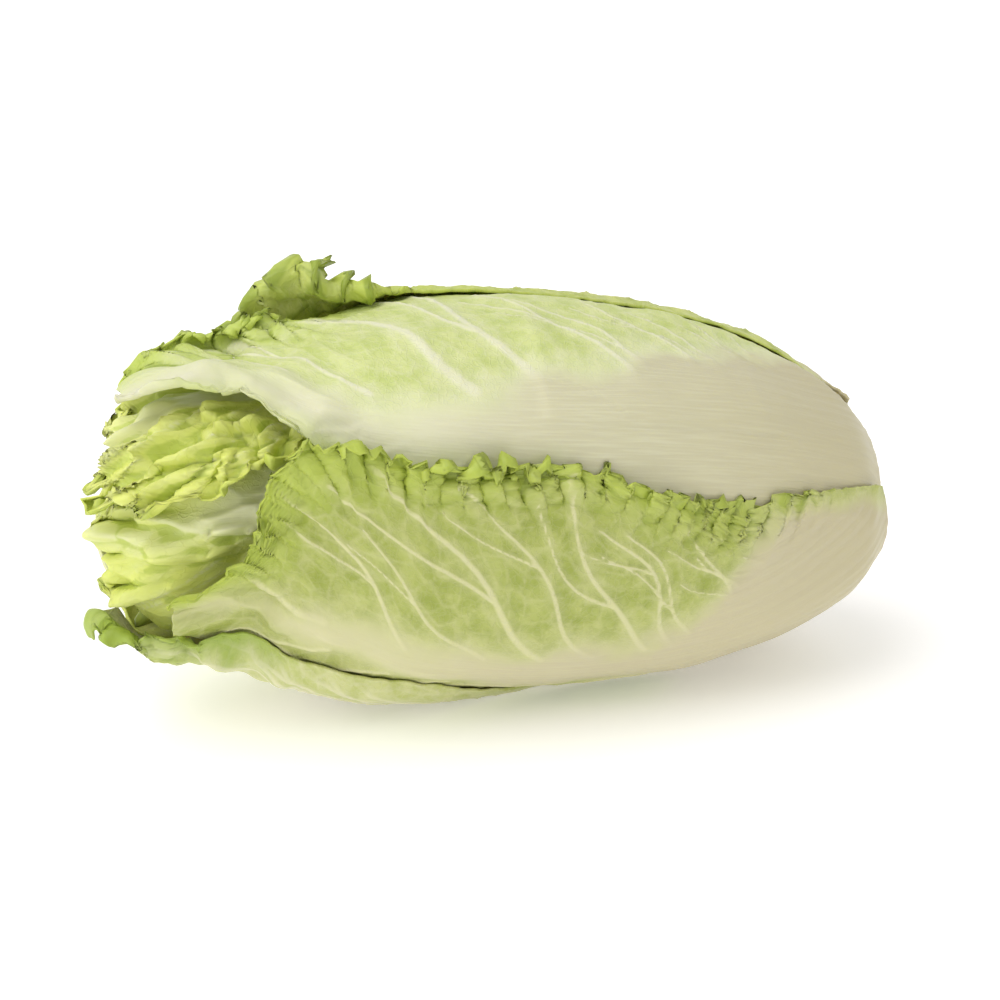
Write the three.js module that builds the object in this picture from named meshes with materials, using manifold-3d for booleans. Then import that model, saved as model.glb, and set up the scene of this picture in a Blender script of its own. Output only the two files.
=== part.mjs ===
// A head of napa cabbage lying on its side: a cut stem, the tight heart with its frilled leaf
// tips, and seven wrapper leaves that overlap in a spiral round it, each a closed solid of its own.
//
// Millimetres, +Z up. The head lies along X with its cut butt towards +X and its leafy end
// towards -X, and rests on z = 0. Its front is -Y.
//
// Every leaf is laid out on a chart of the heart's surface. One coordinate is the angle round the
// head, in degrees from the top towards the front. The other is the distance along the heart's
// meridian from the butt, in mm. A leaf stands at a height over that surface, above whatever lies
// below it, so the leaves are laid on one after another from the inside out.
import * as THREE from "three";
import { mergeVertices } from "three/addons/utils/BufferGeometryUtils.js";
import Module from "manifold-3d";

const wasm = await Module();
wasm.setup();

// ---------------------------------------------------------------- driving dimensions

// The heart's meridian from the butt to the pole of its dome, as [distance from the cut, radius].
// The points stand 28 mm apart along the curve.
const MERIDIAN = [
  [0, 19],
  [19, 38.2],
  [44, 50.6],
  [70.5, 58],
  [98, 62.5],
  [126, 65],
  [154, 65.8],
  [182, 64.8],
  [209.5, 60.5],
  [236.5, 52],
  [258.5, 35],
  [271, 0],
];
const KNOT_STEP = 28;
const MERIDIAN_END = KNOT_STEP * (MERIDIAN.length - 1);
const HEAD_MIDDLE = 140; // the distance from the cut that stands over x = 0
const LEAN_DEG = 6.8; // the butt lies lower than the middle
const DROOP = { from: 130, by: 8, over: 100 }; // the leafy end bends down past this distance
const DOME_DEPTH = 24; // how far the core's dome lies below the chart, under the rosette
const FLAT_DEPTH = 3.2; // what the head's own weight presses flat where it rests

const LAMINA = 1.1; // thickness of a leaf's blade
const MARGIN_THICKNESS = 0.8;
const MARGIN_WIDTH = 6; // over which the blade thins to its edge
const GAP = 0.9; // between one leaf and the next
const CLOSEST = 0.45; // and the least of it anywhere
const LAYERS = 8; // about how far the wrapper leaves lie over the heart
const LEAST_GIRTH = 12; // of the heart's surface, near its pole
const BRIDGE = 8; // how far a leaf spans the steps and hollows below it
const PRESSED = { byLeaves: [-2, 10], byFloor: [1, 16] }; // mm clear of them, from flat to free
const RUFFLE_WAVE = 27; // length of one ruffle along a leaf's edge
const RUFFLE_BAND = { side: 22, tip: 38, from: 195, to: 250 }; // how far in ruffles reach
const LOOSE = { from: 110, most: 205, to: 285 }; // where along it a loose leaf stands off
const PLEAT = { wave: 25, height: 0.7, slant: 1.1 }; // the swells between a leaf's side veins
const CRUMPLE = { height: 4, wave: 21, from: 205, to: 255 }; // the folds in a leaf's tip
const TIP_TURN = 62; // radius on which the edge turns round a leaf's tip

// The wrapper leaves, from the innermost to the outermost. Along each leaf, as [distance along the
// meridian, value]: the angle of its rib, and how many degrees its blade reaches to both sides of
// the rib, and the height of its free edge's ruffles. ribThickness and ribWidth are the rib's
// thickness and half width at the base, and loose is how far the leaf stands off near its tip.
const LEAVES = [
  {
    name: "leaf_under_back",
    rib: [[0, 238], [150, 234], [300, 228]],
    before: [[0, 46], [60, 58], [150, 66], [300, 70]],
    after: [[0, 46], [60, 58], [150, 66], [300, 70]],
    ruffle: [[0, 2], [200, 6], [300, 9]],
    start: 5, end: 292, tip: 66, ribThickness: 3.6, ribWidth: 19, phase: 0.4, loose: 0, fine: false,
  },
  {
    name: "leaf_under_front",
    rib: [[0, 92], [100, 96], [200, 88], [300, 84]],
    before: [[0, 44], [60, 54], [150, 62], [300, 60]],
    after: [[0, 44], [60, 54], [150, 62], [300, 60]],
    ruffle: [[0, 2], [200, 6], [300, 10]],
    start: 4, end: 296, tip: 66, ribThickness: 3.6, ribWidth: 19, phase: 2.1, loose: 0, fine: false,
  },
  {
    name: "leaf_under_top",
    rib: [[0, -12], [100, -8], [200, 0], [300, 12]],
    before: [[0, 44], [60, 54], [150, 60], [300, 60]],
    after: [[0, 44], [60, 54], [150, 60], [300, 62]],
    ruffle: [[0, 2], [190, 6], [230, 12], [300, 11]],
    start: 4, end: 296, tip: 62, ribThickness: 3.6, ribWidth: 19, phase: 3.6, loose: 0, fine: true,
  },
  {
    name: "leaf_top",
    rib: [[0, 47], [60, 51], [110, 53], [170, 53.5], [215, 48], [235, 38], [255, 28], [276, 22]],
    before: [[0, 46], [60, 62], [110, 74], [200, 74], [225, 56], [250, 36], [276, 28]],
    after: [[0, 46], [60, 60], [110, 66], [195, 62], [215, 30], [235, 14], [276, 14]],
    ruffle: [[0, 3], [200, 4], [225, 9], [250, 13], [276, 11]],
    start: 3, end: 280, tip: 30, ribThickness: 5.2, ribWidth: 27, phase: 1.2, loose: 0, fine: true,
  },
  {
    name: "leaf_back",
    rib: [[0, 300], [60, 290], [130, 284], [220, 286], [300, 292]],
    before: [[0, 46], [60, 62], [110, 74], [200, 76], [300, 66]],
    after: [[0, 58], [40, 66], [70, 66], [150, 66], [210, 66], [300, 56]],
    ruffle: [[0, 2], [175, 2.5], [205, 9], [222, 19], [245, 13], [272, 9]],
    start: 2, end: 270, tip: 60, ribThickness: 5.2, ribWidth: 25, phase: 0.8, loose: 0, fine: true,
  },
  {
    name: "leaf_front",
    rib: [
      [0, 99], [30, 110], [60, 121], [85, 128], [125, 133],
      [160, 132.5], [195, 128], [220, 120], [260, 110], [300, 104],
    ],
    before: [
      [0, 36], [30, 44], [60, 51], [85, 54], [110, 59], [150, 68],
      [195, 63], [222, 58], [240, 48], [252, 38], [262, 24], [274, 12],
    ],
    after: [[0, 44], [60, 46], [110, 42], [150, 36], [200, 32], [250, 30], [274, 20]],
    ruffle: [[0, 3], [60, 6], [190, 7], [215, 4], [300, 3]],
    start: 1.5, end: 274, tip: 30, ribThickness: 5.2, ribWidth: 25, phase: 0.0, loose: 0, fine: true,
  },
  {
    name: "leaf_ground",
    rib: [[0, 190], [60, 188], [120, 187], [170, 184], [220, 172], [260, 156], [300, 145]],
    before: [[0, 24], [60, 24], [120, 22], [150, 28], [180, 38], [215, 43], [250, 46], [300, 40]],
    after: [[0, 44], [60, 56], [110, 60], [170, 62], [220, 60], [300, 50]],
    ruffle: [[0, 2], [60, 3], [150, 2], [220, 4], [300, 6]],
    start: 1, end: 298, tip: 66, ribThickness: 6.6, ribWidth: 31, phase: 2.7, loose: 3, fine: true,
  },
];

// The heart's inner leaves, which stand up in a rosette round its pole.
const ROSETTE = {
  count: 9,
  turnDeg: 137.5, // from one leaf to the next, as leaves grow
  firstDeg: 30,
  // Each pair is for the outermost leaf and the innermost one.
  rootDistance: [222, 238], // along the axis from the cut
  rootRadius: [41, 4],
  height: [44, 44],
  halfWidth: [36, 17],
  leanOut: [-15, 5],
  sunk: 8, // how deep the roots are in the core
  slack: 6, // added to the root's radius where a leaf's width is turned into an angle
  bow: 4, // how far the blade bulges outwards
  ruffle: 5.5,
  wave: 21,
  phaseStep: 1.7,
  thickness: 1.2,
  rows: 4,
  columns: 10,
};

const STEM = { cutRadius: 15, topRadius: 11, length: 62, gap: 0.5, sides: 28 };

// The core's faces: how many go round it, and where along the meridian its rings stand.
const CORE = { around: 32, rings: [0, 30, 70, 120, 180, 225, 255, 280, 298] };

const COLOURS = {
  outerLeaf: { color: 0xc3cf86, roughness: 0.5, metalness: 0 },
  innerLeaf: { color: 0xc6d26a, roughness: 0.52, metalness: 0 },
  stem: { color: 0xe2d8b4, roughness: 0.6, metalness: 0 },
};

// ---------------------------------------------------------------- curves and the chart

const RAD = Math.PI / 180;
const clamp = (x, low, high) => Math.min(high, Math.max(low, x));
const smooth = (low, high, x) => {
  const s = clamp((x - low) / (high - low), 0, 1);
  return s * s * (3 - 2 * s);
};
const mix = (a, b, s) => a + (b - a) * s;

// A smooth curve through knots of [place, value], flat beyond both ends.
function along(knots, x) {
  const last = knots.length - 1;
  if (x <= knots[0][0]) return knots[0][1];
  if (x >= knots[last][0]) return knots[last][1];
  let i = 0;
  while (x > knots[i + 1][0]) i += 1;
  const slope = (k) => {
    const a = knots[Math.max(0, k - 1)];
    const b = knots[Math.min(last, k + 1)];
    return (b[1] - a[1]) / (b[0] - a[0]);
  };
  const [x0, y0] = knots[i];
  const [x1, y1] = knots[i + 1];
  const d = x1 - x0;
  const s = (x - x0) / d;
  const s2 = s * s;
  const s3 = s2 * s;
  return (
    (2 * s3 - 3 * s2 + 1) * y0 +
    (s3 - 2 * s2 + s) * d * slope(i) +
    (3 * s2 - 2 * s3) * y1 +
    (s3 - s2) * d * slope(i + 1)
  );
}

// The meridian at a distance along it: where it is, and the direction that stands out from it.
function meridian(t) {
  const last = MERIDIAN.length - 1;
  const u = clamp(t / KNOT_STEP, 0, last - 1e-6);
  const i = Math.floor(u);
  const s = u - i;
  const knot = (k) => {
    if (k < 0) return [2 * MERIDIAN[0][0] - MERIDIAN[1][0], 2 * MERIDIAN[0][1] - MERIDIAN[1][1]];
    if (k > last) return [MERIDIAN[last - 1][0], -MERIDIAN[last - 1][1]];
    return MERIDIAN[k];
  };
  const [a, b, c, d] = [knot(i - 1), knot(i), knot(i + 1), knot(i + 2)];
  const place = [0, 1].map(
    (n) =>
      0.5 *
      (2 * b[n] +
        (c[n] - a[n]) * s +
        (2 * a[n] - 5 * b[n] + 4 * c[n] - d[n]) * s * s +
        (3 * b[n] - a[n] - 3 * c[n] + d[n]) * s * s * s),
  );
  const slope = [0, 1].map(
    (n) =>
      0.5 *
      (c[n] -
        a[n] +
        2 * (2 * a[n] - 5 * b[n] + 4 * c[n] - d[n]) * s +
        3 * (3 * b[n] - a[n] - 3 * c[n] + d[n]) * s * s),
  );
  // Near the butt a leaf's thickness is measured straight out, so that all bases meet the cut.
  const size = Math.hypot(slope[0], slope[1]);
  const axial = (-slope[1] / size) * smooth(0, 70, t);
  const radial = Math.sqrt(1 - axial * axial);
  return { w: place[0], r: Math.max(place[1], 0), axial, radial };
}

// A point over the chart, in the head's frame: x towards the leafy end, then front and up.
function overChart(angle, t, height) {
  const m = meridian(t);
  const out = m.r + m.radial * height;
  return headPoint(m.w + m.axial * height, out, angle);
}

// The head's frame to the part's frame, before it is lifted to rest on z = 0.
function headPoint(w, radius, angle) {
  const x = HEAD_MIDDLE - w;
  const droop = DROOP.by * Math.pow(Math.max(0, w - DROOP.from) / DROOP.over, 2);
  const z = radius * Math.cos(angle * RAD) - droop;
  const lean = LEAN_DEG * RAD;
  return [
    x * Math.cos(lean) + z * Math.sin(lean),
    -radius * Math.sin(angle * RAD),
    -x * Math.sin(lean) + z * Math.cos(lean),
  ];
}

// The core of the heart fills the chart's surface, and is sunk at the leafy end under the rosette.
const coreHeight = (t) => -DOME_DEPTH * smooth(190, MERIDIAN_END, t);

// ---------------------------------------------------------------- a leaf on the chart

// The radius at which a leaf lies, near enough to turn degrees into mm.
const girth = (t) => Math.max(meridian(t).r, LEAST_GIRTH) + LAYERS;

// How many degrees the blade reaches from its rib, on the side that p points to.
function reach(leaf, p, t) {
  const full = along(p < 0 ? leaf.before : leaf.after, t);
  const s = clamp((t - (leaf.end - leaf.tip)) / leaf.tip, 0, 1);
  return full * Math.cbrt(Math.max(0, 1 - s * s * s));
}

// How far to the side of the rib a place on the blade lies, in mm.
const aside = (leaf, p, t) => p * reach(leaf, p, t) * RAD * girth(t);

// How far a place on the blade is from its edge, and where along the edge, both in mm. The second
// is 0 at the tip and grows to both sides.
function edge(leaf, p, t) {
  const x = aside(leaf, p, t);
  const side = (1 - Math.abs(p)) * reach(leaf, p, t) * RAD * girth(t);
  const tip = Math.max(leaf.end - t, 0);
  const from = (side * tip) / Math.max(side + tip, 1e-6);
  const y = t - (leaf.end - TIP_TURN);
  const straight = Math.sign(x) * ((TIP_TURN * Math.PI) / 2 - y);
  return { from, where: y > 0 ? Math.atan2(x, y) * TIP_TURN : straight };
}

// How far a place lies outside another leaf's outline, in mm, or inside it if negative.
function outside(leaf, angle, t) {
  const within = Math.min(t, leaf.end - 1);
  const turn = angle - along(leaf.rib, within);
  const d = turn - 360 * Math.round(turn / 360);
  const past = (Math.abs(d) - reach(leaf, d, within)) * RAD * girth(t);
  return Math.max(past, t - leaf.end);
}

// How free the blade is to ruffle at a place: the leaves over it press it flat, and so does the
// floor.
function freedom(index, angle, t) {
  const beyond = LEAVES.slice(index + 1).map((over) => outside(over, angle, t));
  const uncovered = smooth(...PRESSED.byLeaves, Math.min(Infinity, ...beyond));
  const room = girth(t) * (1 + Math.cos(angle * RAD));
  return uncovered * smooth(...PRESSED.byFloor, room);
}

// How high the free edge's ruffles and the tip's folds lift the blade at a place.
function ruffleHeight(leaf, index, angle, p, t) {
  const { from, where } = edge(leaf, p, t);
  const wide = mix(RUFFLE_BAND.side, RUFFLE_BAND.tip, smooth(RUFFLE_BAND.from, RUFFLE_BAND.to, t));
  const band = Math.pow(clamp(1 - from / wide, 0, 1), 1.4);
  const turn = (2 * Math.PI * where) / RUFFLE_WAVE + leaf.phase;
  const wave = 0.5 + 0.5 * Math.sin(turn + 1.1 * Math.sin(0.37 * turn));
  const crest = along(leaf.ruffle, t) * band * (0.15 + 0.85 * wave);
  const x = aside(leaf, p, t);
  const fold = Math.sin((2 * Math.PI * (t + 0.4 * x)) / CRUMPLE.wave + leaf.phase);
  const crossFold = Math.sin((2 * Math.PI * (x - 0.3 * t)) / CRUMPLE.wave + 2 * leaf.phase);
  const tipShare = smooth(CRUMPLE.from, CRUMPLE.to, t);
  const crumple = CRUMPLE.height * tipShare * (0.5 + 0.5 * fold * crossFold);
  return (crest + crumple) * freedom(index, angle, t);
}

// How far a loose leaf's blade hangs clear of the head near its tip.
function hang(leaf, p, t) {
  const rise = smooth(LOOSE.from, LOOSE.most, t) * (1 - smooth(LOOSE.most, LOOSE.to, t));
  return leaf.loose * rise * (1 - Math.pow(p, 4));
}

// Thickness of the leaf: a thin blade that swells between the side veins, and the broad rib that
// fades towards the tip.
function thickness(leaf, p, t) {
  const s = clamp((t - leaf.start) / (leaf.end - leaf.start), 0, 1);
  const x = aside(leaf, p, t);
  const half = leaf.ribWidth * (1 - 0.86 * Math.pow(s, 0.9)) + 2;
  const rib = leaf.ribThickness * Math.pow(1 - s, 0.8) * Math.exp(-1.6 * Math.pow(x / half, 2));
  const fromEdge = clamp(edge(leaf, p, t).from / MARGIN_WIDTH, 0, 1);
  const blade = mix(MARGIN_THICKNESS, LAMINA, fromEdge);
  const vein = (2 * Math.PI * (t - PLEAT.slant * Math.abs(x))) / PLEAT.wave;
  const besideRib = smooth(half, half + 15, Math.abs(x));
  return blade + rib + PLEAT.height * (0.5 + 0.5 * Math.cos(vein)) * besideRib;
}

// ---------------------------------------------------------------- the pile of leaves

// The height of the pile so far over each place of the chart, at first that of the heart.
const AROUND = 180;
const CELL = 2; // mm along the meridian
const ROWS = Math.ceil(MERIDIAN_END / CELL) + 1;
let pile = new Float64Array(AROUND * ROWS).map((_, k) => coreHeight(Math.floor(k / AROUND) * CELL));

const cellAt = (i, j) => clamp(j, 0, ROWS - 1) * AROUND + (((i % AROUND) + AROUND) % AROUND);

// The height of a grid between its cells.
function readPile(grid, angle, t) {
  const a = (angle / 360) * AROUND;
  const b = clamp(t / CELL, 0, ROWS - 1);
  const i = Math.floor(a);
  const j = Math.floor(b);
  const row = (y) => mix(grid[cellAt(i, y)], grid[cellAt(i + 1, y)], a - i);
  return mix(row(j), row(j + 1), b - j);
}

// One pass of a window round the head, then one along it, each of which keeps the most or the mean.
function pass(grid, keep) {
  const swept = (source, reachOf, neighbour) =>
    source.map((_, k) => {
      const i = k % AROUND;
      const j = Math.floor(k / AROUND);
      const n = reachOf(j);
      return keep(Array.from({ length: 2 * n + 1 }, (_, d) => source[neighbour(i, j, d - n)]));
    });
  const cellWidth = (j) => (girth(j * CELL) * 2 * Math.PI) / AROUND;
  const round = swept(
    grid,
    (j) => Math.round(BRIDGE / cellWidth(j)),
    (i, j, d) => cellAt(i + d, j),
  );
  return swept(
    round,
    () => BRIDGE / CELL,
    (i, j, d) => cellAt(i, j + d),
  );
}

// The pile as a leaf bridges it: never lower than the pile, without its steps.
const bridged = (grid) =>
  pass(
    pass(grid, (v) => Math.max(...v)),
    (v) => v.reduce((a, b) => a + b, 0) / v.length,
  );

// Places across and along a leaf's grid, closer together at its edges and its tip.
const GRIDS = {
  fine: { across: [0, 0.12, 0.25, 0.4, 0.57, 0.72, 0.85, 0.94, 1], rows: 27 },
  plain: { across: [0, 0.22, 0.46, 0.68, 0.86, 1], rows: 22 },
};
const ROW_CROWDING = 1.3;
const BLUNT = 1.2; // how much of the very tip is cut off, where the grid would close to a point
const mirrored = (half) => [...half.slice(1).map((x) => -x).reverse(), ...half];

// The four corners of each cell of a grid of places.
function* quads(cells) {
  for (let j = 0; j + 1 < cells.length; j++)
    for (let i = 0; i + 1 < cells[0].length; i++)
      yield [cells[j][i], cells[j][i + 1], cells[j + 1][i], cells[j + 1][i + 1]];
}

// A value between the corners of a cell, u of the way across it and v of the way along it.
const between = (corners, value, u, v) => {
  const [a, b, c, d] = corners.map(value);
  return mix(mix(a, b, u), mix(c, d, u), v);
};

function leafHeights(leaf, index) {
  const base = bridged(pile);
  const grid = leaf.fine ? GRIDS.fine : GRIDS.plain;
  const tAt = (share) =>
    mix(leaf.start, leaf.end - BLUNT, 1 - Math.pow(1 - share, ROW_CROWDING));
  const cells = Array.from({ length: grid.rows + 1 }, (_, j) => {
    const t = tAt(j / grid.rows);
    return mirrored(grid.across).map((p) => {
      const angle = along(leaf.rib, t) + p * reach(leaf, p, t);
      const lie = readPile(base, angle, t) + GAP + hang(leaf, p, t);
      const low = lie + ruffleHeight(leaf, index, angle, p, t);
      return { t, angle, low, thick: thickness(leaf, p, t) };
    });
  });
  clearPile(cells);
  return cells;
}

// Raises the corners of any cell whose flat faces would come too near the pile below it.
function clearPile(cells) {
  const parts = 4;
  const rounds = 6;
  for (let round = 0; round < rounds; round++)
    for (const corners of quads(cells)) {
      let lack = 0;
      for (let a = 0; a <= parts; a++)
        for (let b = 0; b <= parts; b++) {
          const [u, v] = [a / parts, b / parts];
          const t = between(corners, (c) => c.t, u, v);
          const low = between(corners, (c) => c.low, u, v);
          const angle = between(corners, (c) => c.angle, u, v);
          // A flat cell sags below the round surface that its corners lie on.
          const half = (Math.abs(corners[0].angle - corners[1].angle) * RAD) / 2;
          const sag = (meridian(t).r + low) * (1 - Math.cos(half)) * 4 * u * (1 - u);
          lack = Math.max(lack, readPile(pile, angle, t) + CLOSEST - (low - sag));
        }
      if (lack > 0) corners.forEach((c) => (c.low += 0.6 * lack));
    }
}

// The place on the chart that lies under a distance from the cut and a radius, and the height there.
function placeOnChart(w, radius) {
  let best = { far: Infinity };
  for (let t = 0; t <= MERIDIAN_END; t += CELL) {
    const m = meridian(t);
    const far = Math.hypot(w - m.w, radius - m.r);
    if (far < best.far) best = { far, t, m };
  }
  const { t, m } = best;
  return { t, low: (w - m.w) * m.axial + (radius - m.r) * m.radial, thick: 0 };
}

// Adds a leaf to the pile by drawing the cells of its outer face on the grid.
function layOnPile(cells) {
  const next = pile.slice();
  const parts = 14;
  for (const corners of quads(cells))
    for (let a = 0; a <= parts; a++)
      for (let b = 0; b <= parts; b++) {
        const [u, v] = [a / parts, b / parts];
        const top = between(corners, (c) => c.low + c.thick, u, v);
        const i = Math.floor((between(corners, (c) => c.angle, u, v) / 360) * AROUND);
        const j = Math.floor(between(corners, (c) => c.t, u, v) / CELL);
        for (const k of [cellAt(i, j), cellAt(i + 1, j), cellAt(i, j + 1), cellAt(i + 1, j + 1)])
          next[k] = Math.max(next[k], top);
      }
  pile = next;
}

// ---------------------------------------------------------------- solids

// A closed sheet from two grids of points, the outer face first, split alike on both faces.
function sheetGeometry(outer, inner) {
  const rows = outer.length;
  const columns = outer[0].length;
  const positions = [...outer.flat(), ...inner.flat()].flat();
  const index = [];
  const top = (j, i) => j * columns + i;
  const under = (j, i) => rows * columns + j * columns + i;
  for (let j = 0; j + 1 < rows; j++)
    for (let i = 0; i + 1 < columns; i++) {
      index.push(top(j, i), top(j, i + 1), top(j + 1, i + 1));
      index.push(top(j, i), top(j + 1, i + 1), top(j + 1, i));
      index.push(under(j, i), under(j + 1, i + 1), under(j, i + 1));
      index.push(under(j, i), under(j + 1, i), under(j + 1, i + 1));
    }
  const rim = [];
  for (let i = 0; i < columns; i++) rim.push([0, i]);
  for (let j = 1; j < rows; j++) rim.push([j, columns - 1]);
  for (let i = columns - 2; i >= 0; i--) rim.push([rows - 1, i]);
  for (let j = rows - 2; j > 0; j--) rim.push([j, 0]);
  rim.forEach(([j, i], k) => {
    const [j2, i2] = rim[(k + 1) % rim.length];
    index.push(top(j, i), under(j, i), under(j2, i2));
    index.push(top(j, i), under(j2, i2), top(j2, i2));
  });
  return closed(positions, index);
}

// A geometry from points and triangles, turned round if its faces point inwards.
function closed(positions, index) {
  const p = (k) => new THREE.Vector3().fromArray(positions, index[k] * 3);
  let volume = 0;
  for (let k = 0; k < index.length; k += 3) volume += p(k).dot(p(k + 1).cross(p(k + 2)));
  if (volume < 0)
    for (let k = 0; k < index.length; k += 3)
      [index[k + 1], index[k + 2]] = [index[k + 2], index[k + 1]];
  const geometry = new THREE.BufferGeometry();
  geometry.setAttribute("position", new THREE.Float32BufferAttribute(positions, 3));
  geometry.setIndex(index);
  return geometry;
}

function leafGeometry(cells) {
  const face = (height) => cells.map((row) => row.map((c) => overChart(c.angle, c.t, height(c))));
  return sheetGeometry(
    face((c) => c.low + c.thick),
    face((c) => c.low),
  );
}

function solidOf(geometry) {
  const g = geometry.clone();
  g.deleteAttribute("normal");
  g.deleteAttribute("uv");
  const merged = mergeVertices(g, 1e-4);
  return new wasm.Manifold(
    new wasm.Mesh({
      numProp: 3,
      vertProperties: merged.attributes.position.array,
      triVerts: new Uint32Array(merged.index.array),
    }),
  );
}

function geometryOf(solid) {
  const { vertProperties, triVerts, numProp } = solid.getMesh();
  const positions = [];
  for (let i = 0; i < vertProperties.length; i += numProp)
    positions.push(vertProperties[i], vertProperties[i + 1], vertProperties[i + 2]);
  const geometry = new THREE.BufferGeometry();
  geometry.setAttribute("position", new THREE.Float32BufferAttribute(positions, 3));
  geometry.setIndex([...triVerts]);
  return geometry;
}

// The dense middle of the heart, closed at the butt.
function coreGeometry() {
  const { around, rings } = CORE;
  const positions = [];
  for (const t of rings)
    for (let i = 0; i < around; i++)
      positions.push(...overChart((i * 360) / around, t, coreHeight(t)));
  const index = [];
  const at = (j, i) => j * around + (i % around);
  for (let j = 0; j + 1 < rings.length; j++)
    for (let i = 0; i < around; i++) {
      index.push(at(j, i), at(j, i + 1), at(j + 1, i + 1));
      index.push(at(j, i), at(j + 1, i + 1), at(j + 1, i));
    }
  const butt = positions.length / 3;
  positions.push(...headPoint(MERIDIAN[0][0], 0, 0));
  const pole = butt + 1;
  positions.push(...overChart(0, MERIDIAN_END, coreHeight(MERIDIAN_END)));
  for (let i = 0; i < around; i++) {
    index.push(butt, at(0, i + 1), at(0, i));
    index.push(pole, at(rings.length - 1, i), at(rings.length - 1, i + 1));
  }
  return closed(positions, index);
}

// One inner leaf of the rosette, from its root in the core to its frilled edge, which also goes on
// the pile.
function rosetteLeaf(n) {
  const share = n / (ROSETTE.count - 1);
  const of = ([outermost, innermost]) => mix(outermost, innermost, share);
  const centre = ROSETTE.firstDeg + n * ROSETTE.turnDeg;
  const root = of(ROSETTE.rootRadius);
  const places = (count) => [...Array(count + 1).keys()].map((k) => k / count);
  const spots = places(ROSETTE.rows).map((v) =>
    places(ROSETTE.columns).map((column) => {
      const u = 2 * column - 1;
      const arc = u * of(ROSETTE.halfWidth) * mix(0.8, 1, v);
      const rise = of(ROSETTE.height) * (1 - 0.3 * u * u) + ROSETTE.sunk;
      const wave = Math.sin((2 * Math.PI * arc) / ROSETTE.wave + n * ROSETTE.phaseStep);
      const frill = ROSETTE.ruffle * wave * smooth(0.25, 1, v);
      const bow = ROSETTE.bow * Math.sin(0.55 * Math.PI * v);
      return {
        angle: centre + arc / (root + ROSETTE.slack) / RAD,
        w: of(ROSETTE.rootDistance) - ROSETTE.sunk + rise * v,
        radius: Math.max(root + of(ROSETTE.leanOut) * v + bow + frill, ROSETTE.thickness),
      };
    }),
  );
  const half = ROSETTE.thickness / 2;
  const face = (side) =>
    spots.map((row) => row.map((c) => headPoint(c.w, c.radius + side * half, c.angle)));
  layOnPile(
    spots.map((row) => row.map((c) => ({ angle: c.angle, ...placeOnChart(c.w, c.radius + half) }))),
  );
  return sheetGeometry(face(1), face(-1));
}

// The stem's cone, or a cutter for its socket, larger by grow and run past the cut.
function stemSolid(grow, past) {
  const { cutRadius, topRadius, length, sides } = STEM;
  const profile = [
    [0, length + grow],
    [topRadius + grow, length + grow],
    [cutRadius + grow, -past],
    [0, -past],
  ].map(([radius, w]) => new THREE.Vector2(radius, w));
  const lathe = new THREE.LatheGeometry(profile, sides);
  const place = lathe.attributes.position;
  const positions = [];
  for (let i = 0; i < place.count; i++) {
    const radius = Math.hypot(place.getX(i), place.getZ(i));
    const angle = Math.atan2(place.getX(i), place.getZ(i)) / RAD;
    positions.push(...headPoint(place.getY(i), radius, angle));
  }
  return solidOf(closed(positions, [...lathe.index.array]));
}

// ---------------------------------------------------------------- the head

const head = new THREE.Group();
head.name = "napa_cabbage";
const geometries = [];

let heart = solidOf(coreGeometry());
for (let n = 0; n < ROSETTE.count; n++) heart = heart.add(solidOf(rosetteLeaf(n)));
heart = heart.subtract(stemSolid(STEM.gap, 1));
geometries.push(["stem", geometryOf(stemSolid(0, 0)), COLOURS.stem]);
geometries.push(["heart", geometryOf(heart), COLOURS.innerLeaf]);

LEAVES.forEach((leaf, index) => {
  const cells = leafHeights(leaf, index);
  layOnPile(cells);
  const look = leaf.name.startsWith("leaf_under") ? COLOURS.innerLeaf : COLOURS.outerLeaf;
  geometries.push([leaf.name, leafGeometry(cells), look]);
});

// The head is set down so that its lowest FLAT_DEPTH is pressed flat on z = 0, with its middle
// over the origin.
const room = new THREE.Box3();
for (const [, geometry] of geometries) {
  geometry.computeBoundingBox();
  room.union(geometry.boundingBox);
}
const middle = room.getCenter(new THREE.Vector3());
for (const [name, geometry, look] of geometries) {
  geometry.translate(-middle.x, -middle.y, -room.min.z - FLAT_DEPTH);
  const place = geometry.attributes.position;
  for (let i = 0; i < place.count; i++) place.setZ(i, Math.max(0, place.getZ(i)));
  geometry.computeVertexNormals();
  const mesh = new THREE.Mesh(geometry, new THREE.MeshStandardMaterial(look));
  mesh.name = name;
  head.add(mesh);
}

export default head;
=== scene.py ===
# A head of napa cabbage lying on its side on a pale floor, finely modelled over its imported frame.
#
# The leaves are laid on a chart of the heart's surface, one on another from the inside out, as
# the frame's are and from the same dimensions, but on closer grids and with side veins, blisters
# and frills. Lengths are in mm and angles in degrees up to the meshes, which are in metres.
import math
from collections import namedtuple
from dataclasses import dataclass

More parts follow.
